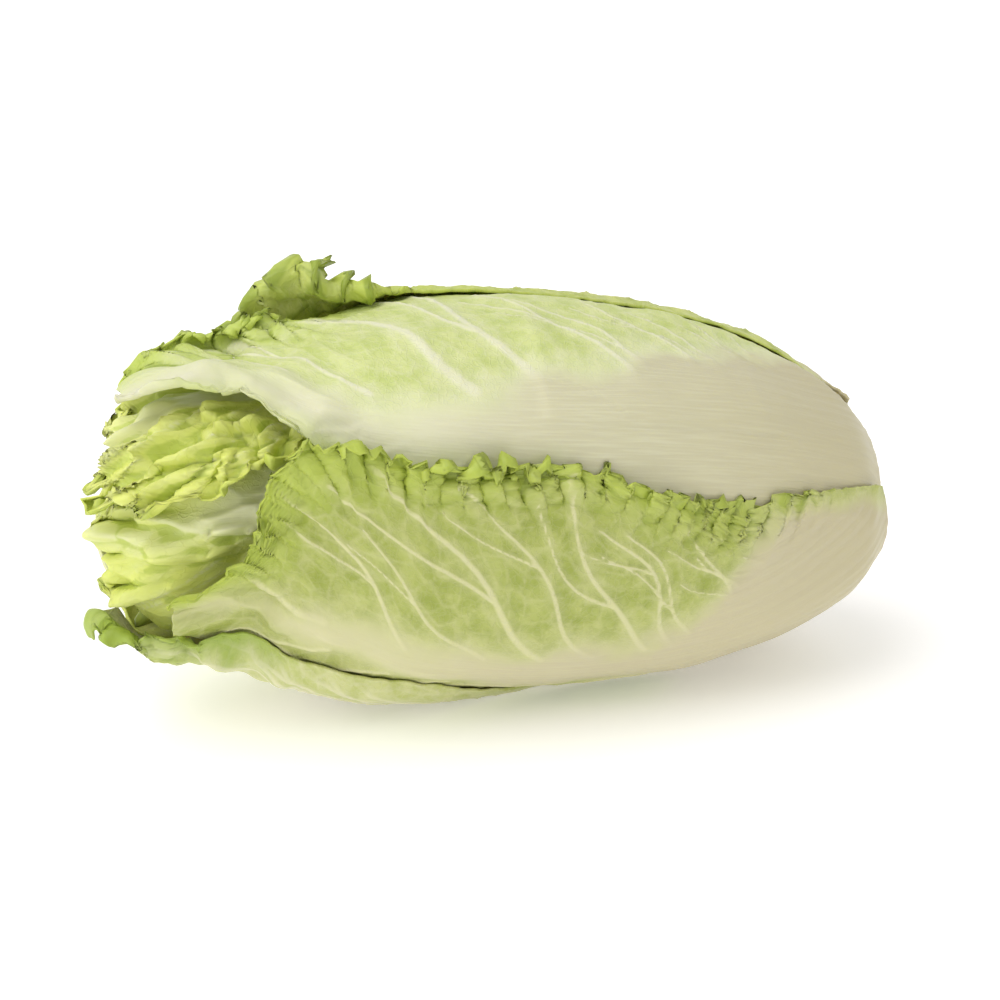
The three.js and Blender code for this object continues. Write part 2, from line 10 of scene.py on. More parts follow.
import bpy
import numpy as np
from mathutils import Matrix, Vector


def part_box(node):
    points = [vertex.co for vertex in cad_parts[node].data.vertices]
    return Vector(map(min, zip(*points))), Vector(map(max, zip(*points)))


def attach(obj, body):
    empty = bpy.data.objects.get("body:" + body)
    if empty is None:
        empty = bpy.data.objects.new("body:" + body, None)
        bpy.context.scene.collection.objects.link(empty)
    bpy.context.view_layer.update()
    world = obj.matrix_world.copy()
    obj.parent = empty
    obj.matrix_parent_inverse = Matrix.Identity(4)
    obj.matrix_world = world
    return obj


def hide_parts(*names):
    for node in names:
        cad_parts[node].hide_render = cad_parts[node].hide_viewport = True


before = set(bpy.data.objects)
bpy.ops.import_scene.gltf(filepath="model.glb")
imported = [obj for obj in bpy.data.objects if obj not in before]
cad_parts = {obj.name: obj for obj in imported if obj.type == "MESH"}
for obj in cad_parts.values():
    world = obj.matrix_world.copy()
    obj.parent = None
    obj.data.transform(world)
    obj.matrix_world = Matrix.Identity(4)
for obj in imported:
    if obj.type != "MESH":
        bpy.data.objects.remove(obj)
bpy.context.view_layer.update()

MM = 0.001

# ---- the frame's dimensions

# The heart's meridian from the butt to the pole of its dome, as (distance from the cut, radius).
MERIDIAN = [
    (0, 19), (19, 38.2), (44, 50.6), (70.5, 58), (98, 62.5), (126, 65),
    (154, 65.8), (182, 64.8), (209.5, 60.5), (236.5, 52), (258.5, 35), (271, 0),
]
KNOT_STEP = 28
MERIDIAN_END = KNOT_STEP * (len(MERIDIAN) - 1)
HEAD_MIDDLE = 140
LEAN = math.radians(6.8)
DROOP_FROM, DROOP_BY, DROOP_OVER = 130, 8, 100
DOME_FROM, DOME_DEPTH = 190, 24
STRAIGHT_OUT_TO = 70  # near the butt a leaf's thickness is measured straight out

LAMINA = 1.1
MARGIN_THICKNESS, MARGIN_WIDTH = 0.8, 6
GAP = 0.9
LAYERS = 8  # about how far the wrapper leaves lie over the heart
LEAST_GIRTH = 12
BRIDGE = 8  # how far a leaf spans the steps below it
PRESSED_BY_LEAVES, PRESSED_BY_FLOOR = (1, 14), (1, 16)  # mm clear of them, from flat to free
RUFFLE_WAVE = 27
RUFFLE_SIDE, RUFFLE_TIP, RUFFLE_FROM, RUFFLE_TO = 22, 38, 195, 250
LOOSE_FROM, LOOSE_MOST, LOOSE_TO = 110, 205, 285
CRUMPLE_HEIGHT, CRUMPLE_WAVE, CRUMPLE_FROM, CRUMPLE_TO = 4, 21, 205, 255
TIP_TURN = 62


@dataclass
class Leaf:
    """A wrapper leaf. The curves are (distance along the meridian, value) knots."""

    name: str
    look: str  # its colours, in LOOKS
    grid: tuple  # its columns from rib to edge, and its rows
    start: float
    end: float
    tip: float
    phase: float
    rib: list  # the angle of its rib, from the top towards the front
    before: list  # how far its blade reaches to both sides of the rib, in degrees
    after: list
    ruffle: list  # the height of its free edge's ruffles
    curl: tuple  # how many degrees its two margins roll outwards
    bare: list  # half the width of the bare cream rib
    rib_size: tuple = (5.2, 25)  # its rib's thickness and half width at the base
    loose: float = 0
    aside: list = ((0, 0), (300, 0))  # how far the bare rib lies aside from the blade's middle
    frilled: tuple = (((0, 1), (300, 1)), ((0, 1), (300, 1)))  # how frilly its two edges are
    blistered: list = ((190, 0), (238, 1))  # and how puckered its blade is
    settled: list = ((150, 1), (200, 0))  # how close its edge lies on what is below
    tiers: float = 0  # the height of the small leaves that show in its tip, if any
    edged: float = 0  # how wide a strip of blade runs down to the base beside the bare rib
    pressed: tuple = PRESSED_BY_LEAVES  # how far beyond the leaves over it it gets free
    paled: float = 0  # how much narrower its green margin is after the rib


def both(knots):
    return (knots, knots)


INNER_RIB = (3.6, 19)
BACK_REACH = [(0, 46), (60, 58), (150, 66), (300, 70)]
FRONT_REACH = [(0, 44), (60, 54), (150, 62), (300, 60)]
LEAVES = [
    Leaf(
        "leaf_under_back", "inner", (44, 140), start=5, end=292, tip=66, phase=0.4,
        rib=[(0, 238), (150, 234), (300, 228)],
        before=BACK_REACH, after=BACK_REACH, rib_size=INNER_RIB,
        ruffle=[(0, 2), (200, 6), (300, 9)],
        curl=both([(0, 20), (180, 60), (230, 130), (300, 170)]),
        bare=[(0, 60), (60, 40), (120, 18), (200, 9), (300, 3)],
    ),
    Leaf(
        "leaf_under_front", "inner", (54, 180), start=4, end=296, tip=66, phase=2.1,
        rib=[(0, 92), (100, 96), (200, 88), (300, 84)],
        before=FRONT_REACH, after=FRONT_REACH, rib_size=INNER_RIB,
        ruffle=[(0, 2), (200, 6), (300, 10)],
        curl=both([(0, 20), (190, 60), (240, 120), (300, 150)]),
        bare=[(0, 60), (60, 40), (120, 18), (215, 14), (250, 9), (266, 6), (276, 0), (290, -8)],
        aside=[(0, 0), (200, -10), (225, -24), (250, -22), (265, -14), (283, -5)],
        blistered=[(192, 0), (212, 1.3)], tiers=4.5,
    ),
    Leaf(
        "leaf_under_top", "inner", (60, 190), start=4, end=289, tip=60, phase=3.6,
        rib=[(0, -12), (100, -8), (200, 0), (300, 12)],
        before=[(0, 44), (60, 54), (150, 60), (300, 60)],
        after=[(0, 44), (60, 54), (150, 60), (225, 52), (248, 48), (262, 56), (300, 86)],
        ruffle=[(0, 2), (190, 4), (230, 5), (270, 5), (300, 4)],
        curl=both([(0, 20), (190, 60), (235, 150), (300, 190)]),
        bare=[(0, 60), (60, 40), (120, 18), (200, 8), (300, 2)],
        rib_size=INNER_RIB, blistered=[(186, 0), (204, 1.5)], tiers=5, pressed=(-11, 3),
    ),
    Leaf(
        "leaf_top", "top", (86, 230), start=3, end=280, tip=30, phase=1.2,
        rib=[(0, 47), (60, 51), (110, 53), (170, 53.5), (215, 48), (235, 38), (255, 20), (276, 6)],
        before=[(0, 46), (60, 62), (110, 74), (200, 74), (225, 56), (250, 36), (276, 28)],
        after=[
            (0, 46), (60, 60), (110, 66), (195, 62), (213, 28),
            (228, 20), (240, 17), (250, 14), (262, 18), (276, 20),
        ],
        ruffle=[(0, 3), (200, 4), (225, 6), (245, 6.5), (276, 4)],
        curl=(
            [(0, 10), (195, 20), (222, 190), (262, 210), (276, 130)],
            [(0, 10), (200, 15), (225, 70), (262, 100), (276, 110)],
        ),
        bare=[(0, 75), (58, 46), (104, 31), (139, 19), (169, 13), (190, 6.5), (240, 5), (280, 3)],
        aside=[(0, 0), (150, 0), (205, 6), (280, 10)],
        frilled=(
            [(0, 0.2), (190, 0.3), (222, 1.2), (280, 1.3)],
            [(0, 0.2), (200, 0.3), (280, 0.5)],
        ),
        blistered=[(0, 0), (300, 0)], rib_size=(5.2, 27),
    ),
    Leaf(
        "leaf_back", "back", (76, 220), start=2, end=270, tip=60, phase=0.8,
        rib=[(0, 300), (60, 290), (130, 284), (220, 286), (300, 292)],
        before=[(0, 46), (60, 62), (110, 74), (200, 76), (300, 66)],
        after=[
            (0, 58), (40, 65), (70, 63), (150, 62.5), (190, 64),
            (210, 65), (234, 62), (250, 50), (300, 36),
        ],
        ruffle=[(0, 2), (180, 2.5), (206, 6), (220, 14.5), (234, 11.5), (246, 5), (272, 2)],
        curl=(
            [(0, 20), (190, 40), (220, 150), (270, 200)],
            [(0, 8), (165, 10), (192, 110), (210, 235), (270, 235)],
        ),
        bare=[(0, 70), (50, 45), (90, 26), (140, 16), (200, 9), (270, 4)],
        frilled=(
            [(0, 0.3), (150, 0.6), (220, 1)],
            [(0, 0.15), (150, 0.3), (205, 1.1), (222, 1.7)],
        ),
        blistered=[(190, 0), (216, 1.3)], settled=[(190, 1), (209, 0)],
    ),
    Leaf(
        "leaf_front", "front", (88, 236), start=1.5, end=274, tip=30, phase=0.0,
        rib=[
            (0, 99), (30, 110), (60, 121), (85, 128), (125, 133),
            (160, 132.5), (195, 128), (220, 120), (260, 110), (300, 104),
        ],
        before=[
            (0, 36), (30, 44), (60, 51), (85, 54), (110, 59), (150, 68),
            (195, 63), (222, 60), (240, 56), (250, 45), (258, 25), (266, 14), (274, 9),
        ],
        after=[(0, 44), (60, 46), (110, 42), (150, 36), (200, 32), (250, 30), (274, 20)],
        ruffle=[(0, 3), (60, 6), (190, 7), (215, 4), (300, 3)],
        curl=(
            [(0, 10), (40, 60), (72, 170), (205, 180), (235, 110), (274, 90)],
            [(0, 8), (215, 8), (245, 14), (274, 30)],
        ),
        bare=[
            (0, 64), (60, 50), (73, 47), (85, 39), (92, 27),
            (102, 18), (150, 13), (200, 7), (235, 1), (274, -6),
        ],
        frilled=(
            [(0, 0.1), (40, 0.3), (75, 1.5), (300, 1.3)],
            [(0, 0.1), (215, 0.15), (245, 0.3), (274, 0.9)],
        ),
        blistered=[(218, 0), (262, 0.5)], edged=9, paled=24,
    ),
    Leaf(
        "leaf_ground", "ground", (66, 210), start=1, end=293, tip=64, phase=2.7,
        rib=[(0, 190), (60, 188), (120, 187), (170, 184), (220, 172), (260, 156), (300, 145)],
        before=[
            (0, 24), (60, 24), (120, 22), (150, 28), (180, 37),
            (215, 38), (240, 33), (262, 31), (285, 34), (300, 36),
        ],
        after=[(0, 44), (60, 56), (110, 60), (170, 62), (220, 60), (300, 50)],
        ruffle=[(0, 2), (60, 3), (150, 2), (220, 2.5), (262, 4), (300, 6)],
        curl=(
            [(0, 8), (150, 8), (240, 20), (270, 110), (298, 190)],
            [(0, 8), (150, 20), (220, 80), (266, 130), (298, 190)],
        ),
        bare=[(0, 70), (60, 45), (100, 28), (150, 18), (220, 11), (262, 5), (278, -8), (298, -14)],
        frilled=([(0, 0.1), (256, 0.15), (274, 1)], [(0, 0.2), (200, 0.5), (260, 1)]),
        blistered=[(256, 0), (274, 0.9)], settled=[(262, 1), (284, 0)], rib_size=(6.6, 31), loose=3,
    ),
]

# The heart's inner leaves round its pole. Each pair is for the outermost leaf and the innermost.
ROSETTE_COUNT, ROSETTE_TURN, ROSETTE_FIRST = 9, 137.5, 30
ROOT_DISTANCE, ROOT_RADIUS = (222, 238), (41, 4)
ROSETTE_HEIGHT, ROSETTE_HALF_WIDTH = 44, (36, 17)
ROSETTE_LEAN = (-15, 5)
ROSETTE_SUNK = 8
ROSETTE_SLACK = 6
ROSETTE_BOW = 4
ROSETTE_RUFFLE, ROSETTE_WAVE, ROSETTE_PHASE_STEP = 3.3, 21, 1.7
ROSETTE_THICKNESS = 1.2
ROSETTE_ROLL, ROSETTE_TURN_OUT = (5, 3), math.radians(100)
ROSETTE_FRILLS = ((13, 3.0, 0.3), (6.4, 1.7, 0.5))  # wave, height, and from how far up the blade
ROSETTE_BLISTERS = 0.7  # times as high as a leaf's
ROSETTE_GRID = (34, 100)

STEM_CUT_RADIUS, STEM_TOP_RADIUS, STEM_LENGTH, STEM_GAP, STEM_SIDES = 15, 11, 62, 0.5, 28
STEM_AROUND, CORE_AROUND = 96, 120  # how many faces go round them here
CUT_BEVEL = (0.5, 0.6)  # its depth and width
CUT_DENT = 0.5
AXIS = 0.05  # the least radius of a profile, so that its ends don't meet in one point

# ---- the finer detail's dimensions

ROW_CROWDING = 1.45  # of a leaf's rows towards its tip
COLUMN_CROWDING = 1.5  # and of its columns towards its edges
BLUNT = 1.2
BASE_ROUNDING = 8

FIRST_VEIN, LAST_VEIN = 26, 12  # from a leaf's base and from its end
VEIN_PITCH = (10, 22)  # between side veins along the rib, at the base and at the tip
VEIN_HEADINGS = ((50, 58), (26, 50), (42, 66))  # at the rib, halfway and at the end, base to tip
VEIN_LEAN = 5  # how many degrees one vein's headings differ from the next's
VEIN_HEIGHT = 1.0
VEIN_STEPS = 14
VEIN_MIDDLE = 0.45  # the share of its length at its middle heading
VEIN_ROOT = 0.6  # how far out in the rib it starts, in half widths
VEIN_SWAY, VEIN_SWAYS = math.radians(11), 9
VEIN_TAPER = 0.42
VEIN_SEED = 41
UNEVEN_START, UNEVEN_WIDTH, UNEVEN_PITCH = (0.7, 1.3), (0.7, 1.25), (0.75, 1.25)
FORK_AT = (5, 8)  # the step of a vein where it forks
FORK_TURN = math.radians(30)
FORK_WIDTH = 0.75
FAR = 9.0  # further than any vein or cell matters, in half widths or cells
INNER_RELIEF = 0.3  # how far the relief goes on through the blade
NET_CELL = 8.5
NET_HEIGHT = 0.55
BUMP_WAVE, BUMP_HEIGHT = 17, 0.9
GROOVE_WAVE, GROOVE_DEPTH = 5.2, 0.16  # across the rib

# The margin rolls up a share of the frame's ruffles, and the rest lifts the blade as in the frame.
ROLLED, UNROLLED, ROLL_WAVE = 0.52, 0.3, 31
# Frills along the margin: their wave, height, and how far in they reach.
FRILLS = ((14.5, 2.0, 27), (7.8, 1.7, 18), (4.6, 0.8, 10))
FULL_RUFFLE = 8  # from which height of the ruffles the frills on them are at their full height
SWAY = 0.11  # of a wave's length, sideways along the edge, so that a frill's sides stand steep
LOBES = ((26, 3.6), (7, 2.6))  # along the margin: their length and depth
LOBE_BAND = 16
BLISTERS = ((10.5, 2.7), (5.6, 1.3))  # puffed cells in a margin and a free tip: size and height
BLISTER_BAND = 24
BLISTER_BENT, BLISTER_BENDS = 0.6, 19  # their borders wave by a share of a cell, over so many mm
PUFF = 3.4  # how steeply a cell rises from its border
SETTLED_GAP = 0.25  # under an edge that lies close on what is below
SETTLED_BAND, SETTLED_FROM = 10, (8, 30)  # its width, and where it starts beyond the base
TIER_LENGTH = 11.5  # of the small leaves that overlap in an inner leaf's tip
TIER_EDGE = 3  # the least that counts as the distance from their edges
TIERS_FROM, TIERS_TO = 190, 206
TIER_FRILLS = 1.5  # times as high as the margin's
HOLLOW_CELLS = 4  # how many cells round a place its height is compared with
# Where a tip's two sides meet, its ruffles are evened out over this many cells.
CALM_CELLS = 2
CALM_TIP, CALM_WIDTH = (34, 10), (18, 8)  # mm from its end and from its middle

# ---- curves and noise


def smooth(low, high, x):
    s = np.clip((x - low) / (high - low), 0, 1)
    return s * s * (3 - 2 * s)


def mix(a, b, s):
    return a + (b - a) * s


def wave(x, length, phase=0):
    return np.sin(2 * math.pi * x / length + phase)


def along(knots, x):
    """A smooth curve through knots of (place, value), flat beyond both ends."""
    places, values = np.array(knots, float).T
    last = len(places) - 1
    lower = np.maximum(np.arange(last + 1) - 1, 0)
    upper = np.minimum(np.arange(last + 1) + 1, last)
    slope = (values[upper] - values[lower]) / (places[upper] - places[lower])
    x = np.clip(x, places[0], places[-1])
    i = np.clip(np.searchsorted(places, x, side="right") - 1, 0, last - 1)
    d = places[i + 1] - places[i]
    s = (x - places[i]) / d
    bow = s * (1 - s) * d * ((1 - s) * slope[i] - s * slope[i + 1])
    return mix(values[i], values[i + 1], smooth(0, 1, s)) + bow


def between(at, i, j, u, v):
    """A value from those at the corners of a cell, u and v of the way across it."""
    low, high = (mix(at(i, j + k), at(i + 1, j + k), u) for k in (0, 1))
    return mix(low, high, v)


class Noise:
    """Smooth random heights from -1 to 1 over a plane, one to a unit each way."""

    SIZE = 128
    TILT = math.radians(31)  # so that the lattice doesn't line up with a leaf

    def __init__(self, seed):
        self.heights = np.random.default_rng(seed).uniform(-1, 1, (self.SIZE, self.SIZE))

    def __call__(self, x, y):
        a = x * math.cos(self.TILT) + y * math.sin(self.TILT)
        b = y * math.cos(self.TILT) - x * math.sin(self.TILT)
        i = np.floor(a).astype(int)
        j = np.floor(b).astype(int)
        return between(self.at, i, j, smooth(0, 1, a - i), smooth(0, 1, b - j))

    def at(self, i, j):
        return self.heights[i % self.SIZE, j % self.SIZE]


class Cells:
    """Random cells over a plane, one to a unit square."""

    SIZE = 128

    def __init__(self, seed):
        self.middles = np.random.default_rng(seed).uniform(0.08, 0.92, (2, self.SIZE, self.SIZE))

    def __call__(self, x, y):
        """How much further the next cell's middle is than the nearest: 0 on a border."""
        i = np.floor(x).astype(int)
        j = np.floor(y).astype(int)
        first = np.full(x.shape, FAR)
        second = first.copy()
        for di in (-1, 0, 1):
            for dj in (-1, 0, 1):
                a, b = self.middles[:, (i + di) % self.SIZE, (j + dj) % self.SIZE]
                far = np.hypot(i + di + a - x, j + dj + b - y)
                second = np.minimum(second, np.maximum(first, far))
                first = np.minimum(first, far)
        return second - first


def puffed(border):
    """A cell's height from 0 on its border, with a sharp valley there and a round top."""
    return 1 - np.exp(-PUFF * border)


def blisters(x, t, noises, cells):
    """The height of puffed cells of several sizes over a plane."""
    height = 0
    for k, (size, rise) in enumerate(BLISTERS):
        bent = BLISTER_BENT * noises[k](x / BLISTER_BENDS, t / BLISTER_BENDS)
        height = height + rise * (puffed(cells[k](x / size + bent, t / size - bent)) - 0.6)
    return height


def averaged(grid, n):
    """The mean over n cells to each side."""
    padded = np.pad(grid, [(n, n)] * 2 + [(0, 0)] * (grid.ndim - 2), mode="edge")
    rows = sum(padded[d : d + len(grid)] for d in range(2 * n + 1))
    return sum(rows[:, d : d + grid.shape[1]] for d in range(2 * n + 1)) / (2 * n + 1) ** 2


def hollows(height):
    """How far each place of a grid stands above its surroundings, in mm."""
    return height - averaged(height, HOLLOW_CELLS)


# ---- the chart


# The meridian's knots with one more beyond each end, so that it starts and ends well.
KNOTS = np.array([
    [2 * a - b for a, b in zip(*MERIDIAN[:2])], *MERIDIAN, (MERIDIAN[-2][0], -MERIDIAN[-2][1]),
])


def meridian(t):
    """The meridian at a distance along it: where it is, and which way stands out from it."""
    u = np.clip(np.asarray(t, float) / KNOT_STEP, 0, len(MERIDIAN) - 1 - 1e-6)
    i = np.floor(u).astype(int)
    s = (u - i)[..., None]
    a, b, c, d = (KNOTS[i + k] for k in range(4))
    bend = 2 * a - 5 * b + 4 * c - d
    twist = 3 * b - a - 3 * c + d
    place = 0.5 * (2 * b + (c - a) * s + bend * s**2 + twist * s**3)
    slope = 0.5 * (c - a + 2 * bend * s + 3 * twist * s**2)
    axial = -slope[..., 1] / np.linalg.norm(slope, axis=-1) * smooth(0, STRAIGHT_OUT_TO, t)
    radial = np.sqrt(1 - axial**2)
    return place[..., 0], np.maximum(place[..., 1], 0), axial, radial


def head_point(w, radius, angle):
    """A point, in the part's frame but for SHIFT, from its distance from the cut, radius and angle."""
    turn = np.radians(angle)
    x = HEAD_MIDDLE - w
    z = radius * np.cos(turn) - DROOP_BY * (np.maximum(0, w - DROOP_FROM) / DROOP_OVER) ** 2
    leant = (
        x * math.cos(LEAN) + z * math.sin(LEAN),
        -radius * np.sin(turn),
        z * math.cos(LEAN) - x * math.sin(LEAN),
    )
    return np.stack(np.broadcast_arrays(*leant), axis=-1)


def over_chart(angle, t, height):
    w, r, axial, radial = meridian(t)
    return head_point(w + axial * height, r + radial * height, angle)


def core_height(t):
    return -DOME_DEPTH * smooth(DOME_FROM, MERIDIAN_END, t)


def frame_shift():
    """How far the frame was moved to rest on the floor, read from where its stem is."""
    angle = np.arange(STEM_SIDES) * 360 / STEM_SIDES
    rings = (head_point(0, STEM_CUT_RADIUS, angle), head_point(STEM_LENGTH, STEM_TOP_RADIUS, angle))
    return np.array(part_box("stem")[0]) / MM - np.concatenate(rings).min(axis=0)


SHIFT = frame_shift()

# ---- a leaf on the chart


def girth(t):
    return np.maximum(meridian(t)[1], LEAST_GIRTH) + LAYERS


def of_side(p, before, after, t):
    return np.where(p < 0, along(before, t), along(after, t))


def reach(leaf, p, t):
    """How many degrees the blade reaches from its rib, on the side that p points to."""
    s = np.clip((t - (leaf.end - leaf.tip)) / leaf.tip, 0, 1)
    return of_side(p, leaf.before, leaf.after, t) * np.cbrt(1 - s**3)


def edge(leaf, p, t):
    """About how far a place is from the leaf's edge, and where along the edge, as in the frame."""
    full = reach(leaf, p, t) * np.radians(girth(t))
    x = p * full
    side = (1 - abs(p)) * full
    tip = np.maximum(leaf.end - t, 0)
    margin = side * tip / np.maximum(side + tip, 1e-6)
    y = t - (leaf.end - TIP_TURN)
    straight = np.sign(x) * (TIP_TURN * math.pi / 2 - y)
    return margin, np.where(y > 0, np.arctan2(x, y) * TIP_TURN, straight)


def from_outline(leaf, x, t):
    """How far a place on the flattened leaf is from its outline, where along it, and the way there."""
    up = np.linspace(leaf.start, leaf.end - BLUNT, 500)
    wide = np.radians(girth(up))
    left, right = (np.stack([k * reach(leaf, k, up) * wide, up], axis=-1) for k in (-1, 1))
    outline = np.concatenate([left, right[::-1]])
    steps = np.diff(outline, axis=0, append=outline[-1:])
    steps[-1] = steps[-2]
    length = np.linalg.norm(steps, axis=1)
    where = np.cumsum(length)
    way = np.stack([-steps[:, 1], steps[:, 0]], axis=-1) / length[:, None]
    nearest = np.empty(x.shape, int)
    margin = np.empty(x.shape)
    for row in range(len(x)):
        far = np.hypot(x[row][:, None] - outline[:, 0], t[row][:, None] - outline[:, 1])
        nearest[row] = far.argmin(axis=1)
        margin[row] = far.min(axis=1)
    return margin, where[nearest], np.moveaxis(way[nearest], -1, 0)


def outside(leaf, angle, t):
    """How far a place lies outside another leaf's outline, in mm, or inside it if negative."""
    within = np.minimum(t, leaf.end - 1)
    turn = angle - along(leaf.rib, within)
    d = turn - 360 * np.round(turn / 360)
    return np.maximum((abs(d) - reach(leaf, d, within)) * np.radians(girth(t)), t - leaf.end)


def freedom(index, angle, t):
    """How free the blade is to ruffle, as the leaves over it and the floor press it flat."""
    beyond = np.full(np.shape(angle), np.inf)
    for over in LEAVES[index + 1 :]:
        beyond = np.minimum(beyond, outside(over, angle, t))
    room = girth(t) * (1 + np.cos(np.radians(angle)))
    return smooth(*LEAVES[index].pressed, beyond) * smooth(*PRESSED_BY_FLOOR, room)


def grown(leaf, t):
    """The share of a leaf's length from its base."""
    return np.clip((t - leaf.start) / (leaf.end - leaf.start), 0, 1)


def rib_half_width(leaf, t):
    return leaf.rib_size[1] * (1 - 0.86 * grown(leaf, t) ** 0.9) + 2


def thickness(leaf, x, t, margin):
    across = x / rib_half_width(leaf, t)
    rib = leaf.rib_size[0] * (1 - grown(leaf, t)) ** 0.8 * np.exp(-1.6 * across**2)
    return mix(MARGIN_THICKNESS, LAMINA, np.clip(margin / MARGIN_WIDTH, 0, 1)) + rib


# ---- veins, puckers and ruffles


# A side vein: where it starts along the rib, its headings at the rib, halfway and at its end, in
# degrees from straight out of the rib to towards the tip, half its width at the rib, its length.
Vein = namedtuple("Vein", "start leave middle end width length", defaults=[78])

# The veins of the sides that face the front, in Vein's order.
VEINS_BEFORE = {
    "leaf_ground": [
        (70, 66, 74, 78, 1.6, 110), (96, 64, 72, 78, 2.0, 120), (124, 64, 74, 80, 2.2, 120),
        (150, 62, 70, 80, 2.2, 110), (176, 62, 74, 80, 2.0, 100), (204, 60, 70, 76, 1.8, 80),
    ],
    "leaf_front": [
        (34, 50, 42, 50, 0.9, 40), (50, 50, 44, 48, 0.9, 46), (64, 50, 42, 46, 1.0, 52),
        (78, 34, 26, 50, 1.1, 56), (94, 34, 26, 46, 1.1, 62), (101.5, 30, 22, 60, 1.3, 66),
        (110, 48, 34, 18, 1.6, 80), (127, 50, 32, 56, 1.4, 88), (146, 44, 44, 68, 2.0, 96),
        (169, 54, 52, 44, 1.4, 62), (197, 40, 44, 66, 1.4, 70), (226, 76, 66, 58, 2.4, 60),
    ],
    "leaf_top": [
        (40, 52, 42, 42, 1.2, 50), (54, 52, 40, 42, 1.2, 56), (69, 52, 42, 44, 1.3, 64),
        (84, 52, 40, 44, 1.4, 70), (101, 54, 42, 46, 1.5, 76), (117, 54, 36, 44, 1.7, 80),
        (156, 40, 24, 20, 2.8, 84), (178, 46, 40, 86, 3.4, 92), (214, 60, 54, 66, 2.0, 60),
        (240, 66, 58, 60, 1.4, 40),
    ],
}
VEINS_AFTER = {
    "leaf_front": [
        (96, 66, 76, 80, 1.5, 120), (126, 64, 76, 82, 1.9, 130), (150, 62, 74, 84, 2.1, 120),
        (174, 62, 76, 84, 2.1, 105), (198, 62, 76, 82, 2.0, 84), (222, 62, 74, 82, 1.8, 60),
    ],
}


def side_veins(leaf, side):
    """The side veins on one side of a leaf's rib, drawn at random where none are given."""
    given = (VEINS_BEFORE if side < 0 else VEINS_AFTER).get(leaf.name)
    if given:
        return [Vein(*values) for values in given]
    chance = np.random.default_rng(VEIN_SEED + 2 * LEAVES.index(leaf) + (side > 0))
    made = []
    start = leaf.start + FIRST_VEIN * chance.uniform(*UNEVEN_START)
    while start < leaf.end - LAST_VEIN:
        share = start / leaf.end
        lean = VEIN_LEAN * chance.normal()
        headings = (mix(*heading, share) + lean for heading in VEIN_HEADINGS)
        width = LOOKS[leaf.look].vein_width * chance.uniform(*UNEVEN_WIDTH)
        made.append(Vein(start, *headings, width))
        start += mix(*VEIN_PITCH, share) * chance.uniform(*UNEVEN_PITCH)
    return made


def vein_paths(leaf, vein, side, fork_at):
    """A vein and its fork on the flattened leaf: x, t and half its width at each step of both."""
    s = np.linspace(0, 1, VEIN_STEPS + 1)
    knots = [(0, vein.leave), (VEIN_MIDDLE, vein.middle), (1, vein.end)]
    heading = np.radians(along(knots, s)) + VEIN_SWAY * np.sin(VEIN_SWAYS * s + vein.start)
    turned = heading[fork_at:] + FORK_TURN * np.exp(-2 * s[: len(s) - fork_at])
    (out, ahead), (fork_out, fork_ahead) = (
        vein.length / VEIN_STEPS * np.cumsum([np.cos(way), np.sin(way)], axis=1)
        for way in (heading, turned)
    )
    x = side * (out + VEIN_ROOT * rib_half_width(leaf, vein.start))
    t = ahead + vein.start
    half = vein.width * mix(1, VEIN_TAPER, s)
    fork_x = x[fork_at] + side * (fork_out - fork_out[0])
    fork_t = t[fork_at] + fork_ahead - fork_ahead[0]
    return (x, t, half), (fork_x, fork_t, FORK_WIDTH * half[fork_at:])


def veined(leaf, x, t):
    """How far each place is from the nearest side vein, in half widths of that vein."""
    nearest = np.full(x.shape, FAR)
    for side in (-1, 1):
        for n, vein in enumerate(side_veins(leaf, side)):
            for px, pt, half in vein_paths(leaf, vein, side, FORK_AT[n % 2]):
                for k in range(len(px) - 1):
                    dx = px[k + 1] - px[k]
                    dt = pt[k + 1] - pt[k]
                    s = np.clip(((x - px[k]) * dx + (t - pt[k]) * dt) / (dx * dx + dt * dt), 0, 1)
                    far = np.hypot(x - px[k] - s * dx, t - pt[k] - s * dt)
                    nearest = np.minimum(nearest, far / half[k])
    return nearest


def bare_rib(leaf, x, t, margin, noises):
    """How far out a place is from the bare rib, whose border runs unevenly."""
    uneven = 5 * noises[2](x / 15 + 7, t / 17) + 2.5 * noises[3](x / 6, t / 8)
    out = abs(x - along(leaf.aside, t)) - along(leaf.bare, t) + uneven
    strip = leaf.edged * (0.8 + 0.4 * noises[2](0, t / 20)) - margin
    return np.where(x < 0, np.maximum(out, 2.5 * strip), out) if leaf.edged else out


def blade_relief(leaf, x, t, margin, noises, cells):
    """What stands up on a leaf's outer face: veins, the net between them, and the grooved rib.

    Also the grids that the material draws them from: how near a vein is, how near the net is, and
    how far out from the bare rib the place is.
    """
    vein = veined(leaf, x, t)
    bare = bare_rib(leaf, x, t, margin, noises)
    out = np.minimum(abs(x) - rib_half_width(leaf, t), bare)
    ridge = np.exp(-(vein**2)) * smooth(-9, 1, out) * smooth(0, 9, margin)
    bent_x = x / NET_CELL + 0.5 * noises[1](x / 14, t / 14)
    bent_t = t / NET_CELL + 0.5 * noises[2](x / 14, t / 14)
    net = cells[0](bent_x, bent_t)
    on_net = NET_HEIGHT * smooth(2, 18, bare) * (1 - puffed(net))
    bumps = BUMP_HEIGHT * (0.4 + smooth(-4, 8, bare) * noises[3](x / BUMP_WAVE, t / BUMP_WAVE))
    share = grown(leaf, t)
    groove = wave(x, GROOVE_WAVE, 1.5 * noises[1](x / 9, t / 60))
    grooves = GROOVE_DEPTH * groove * smooth(2, -4, bare) * (1 - share)
    relief = VEIN_HEIGHT * ridge * (1 - 0.4 * share) + on_net + bumps + grooves
    return relief, vein, net, bare


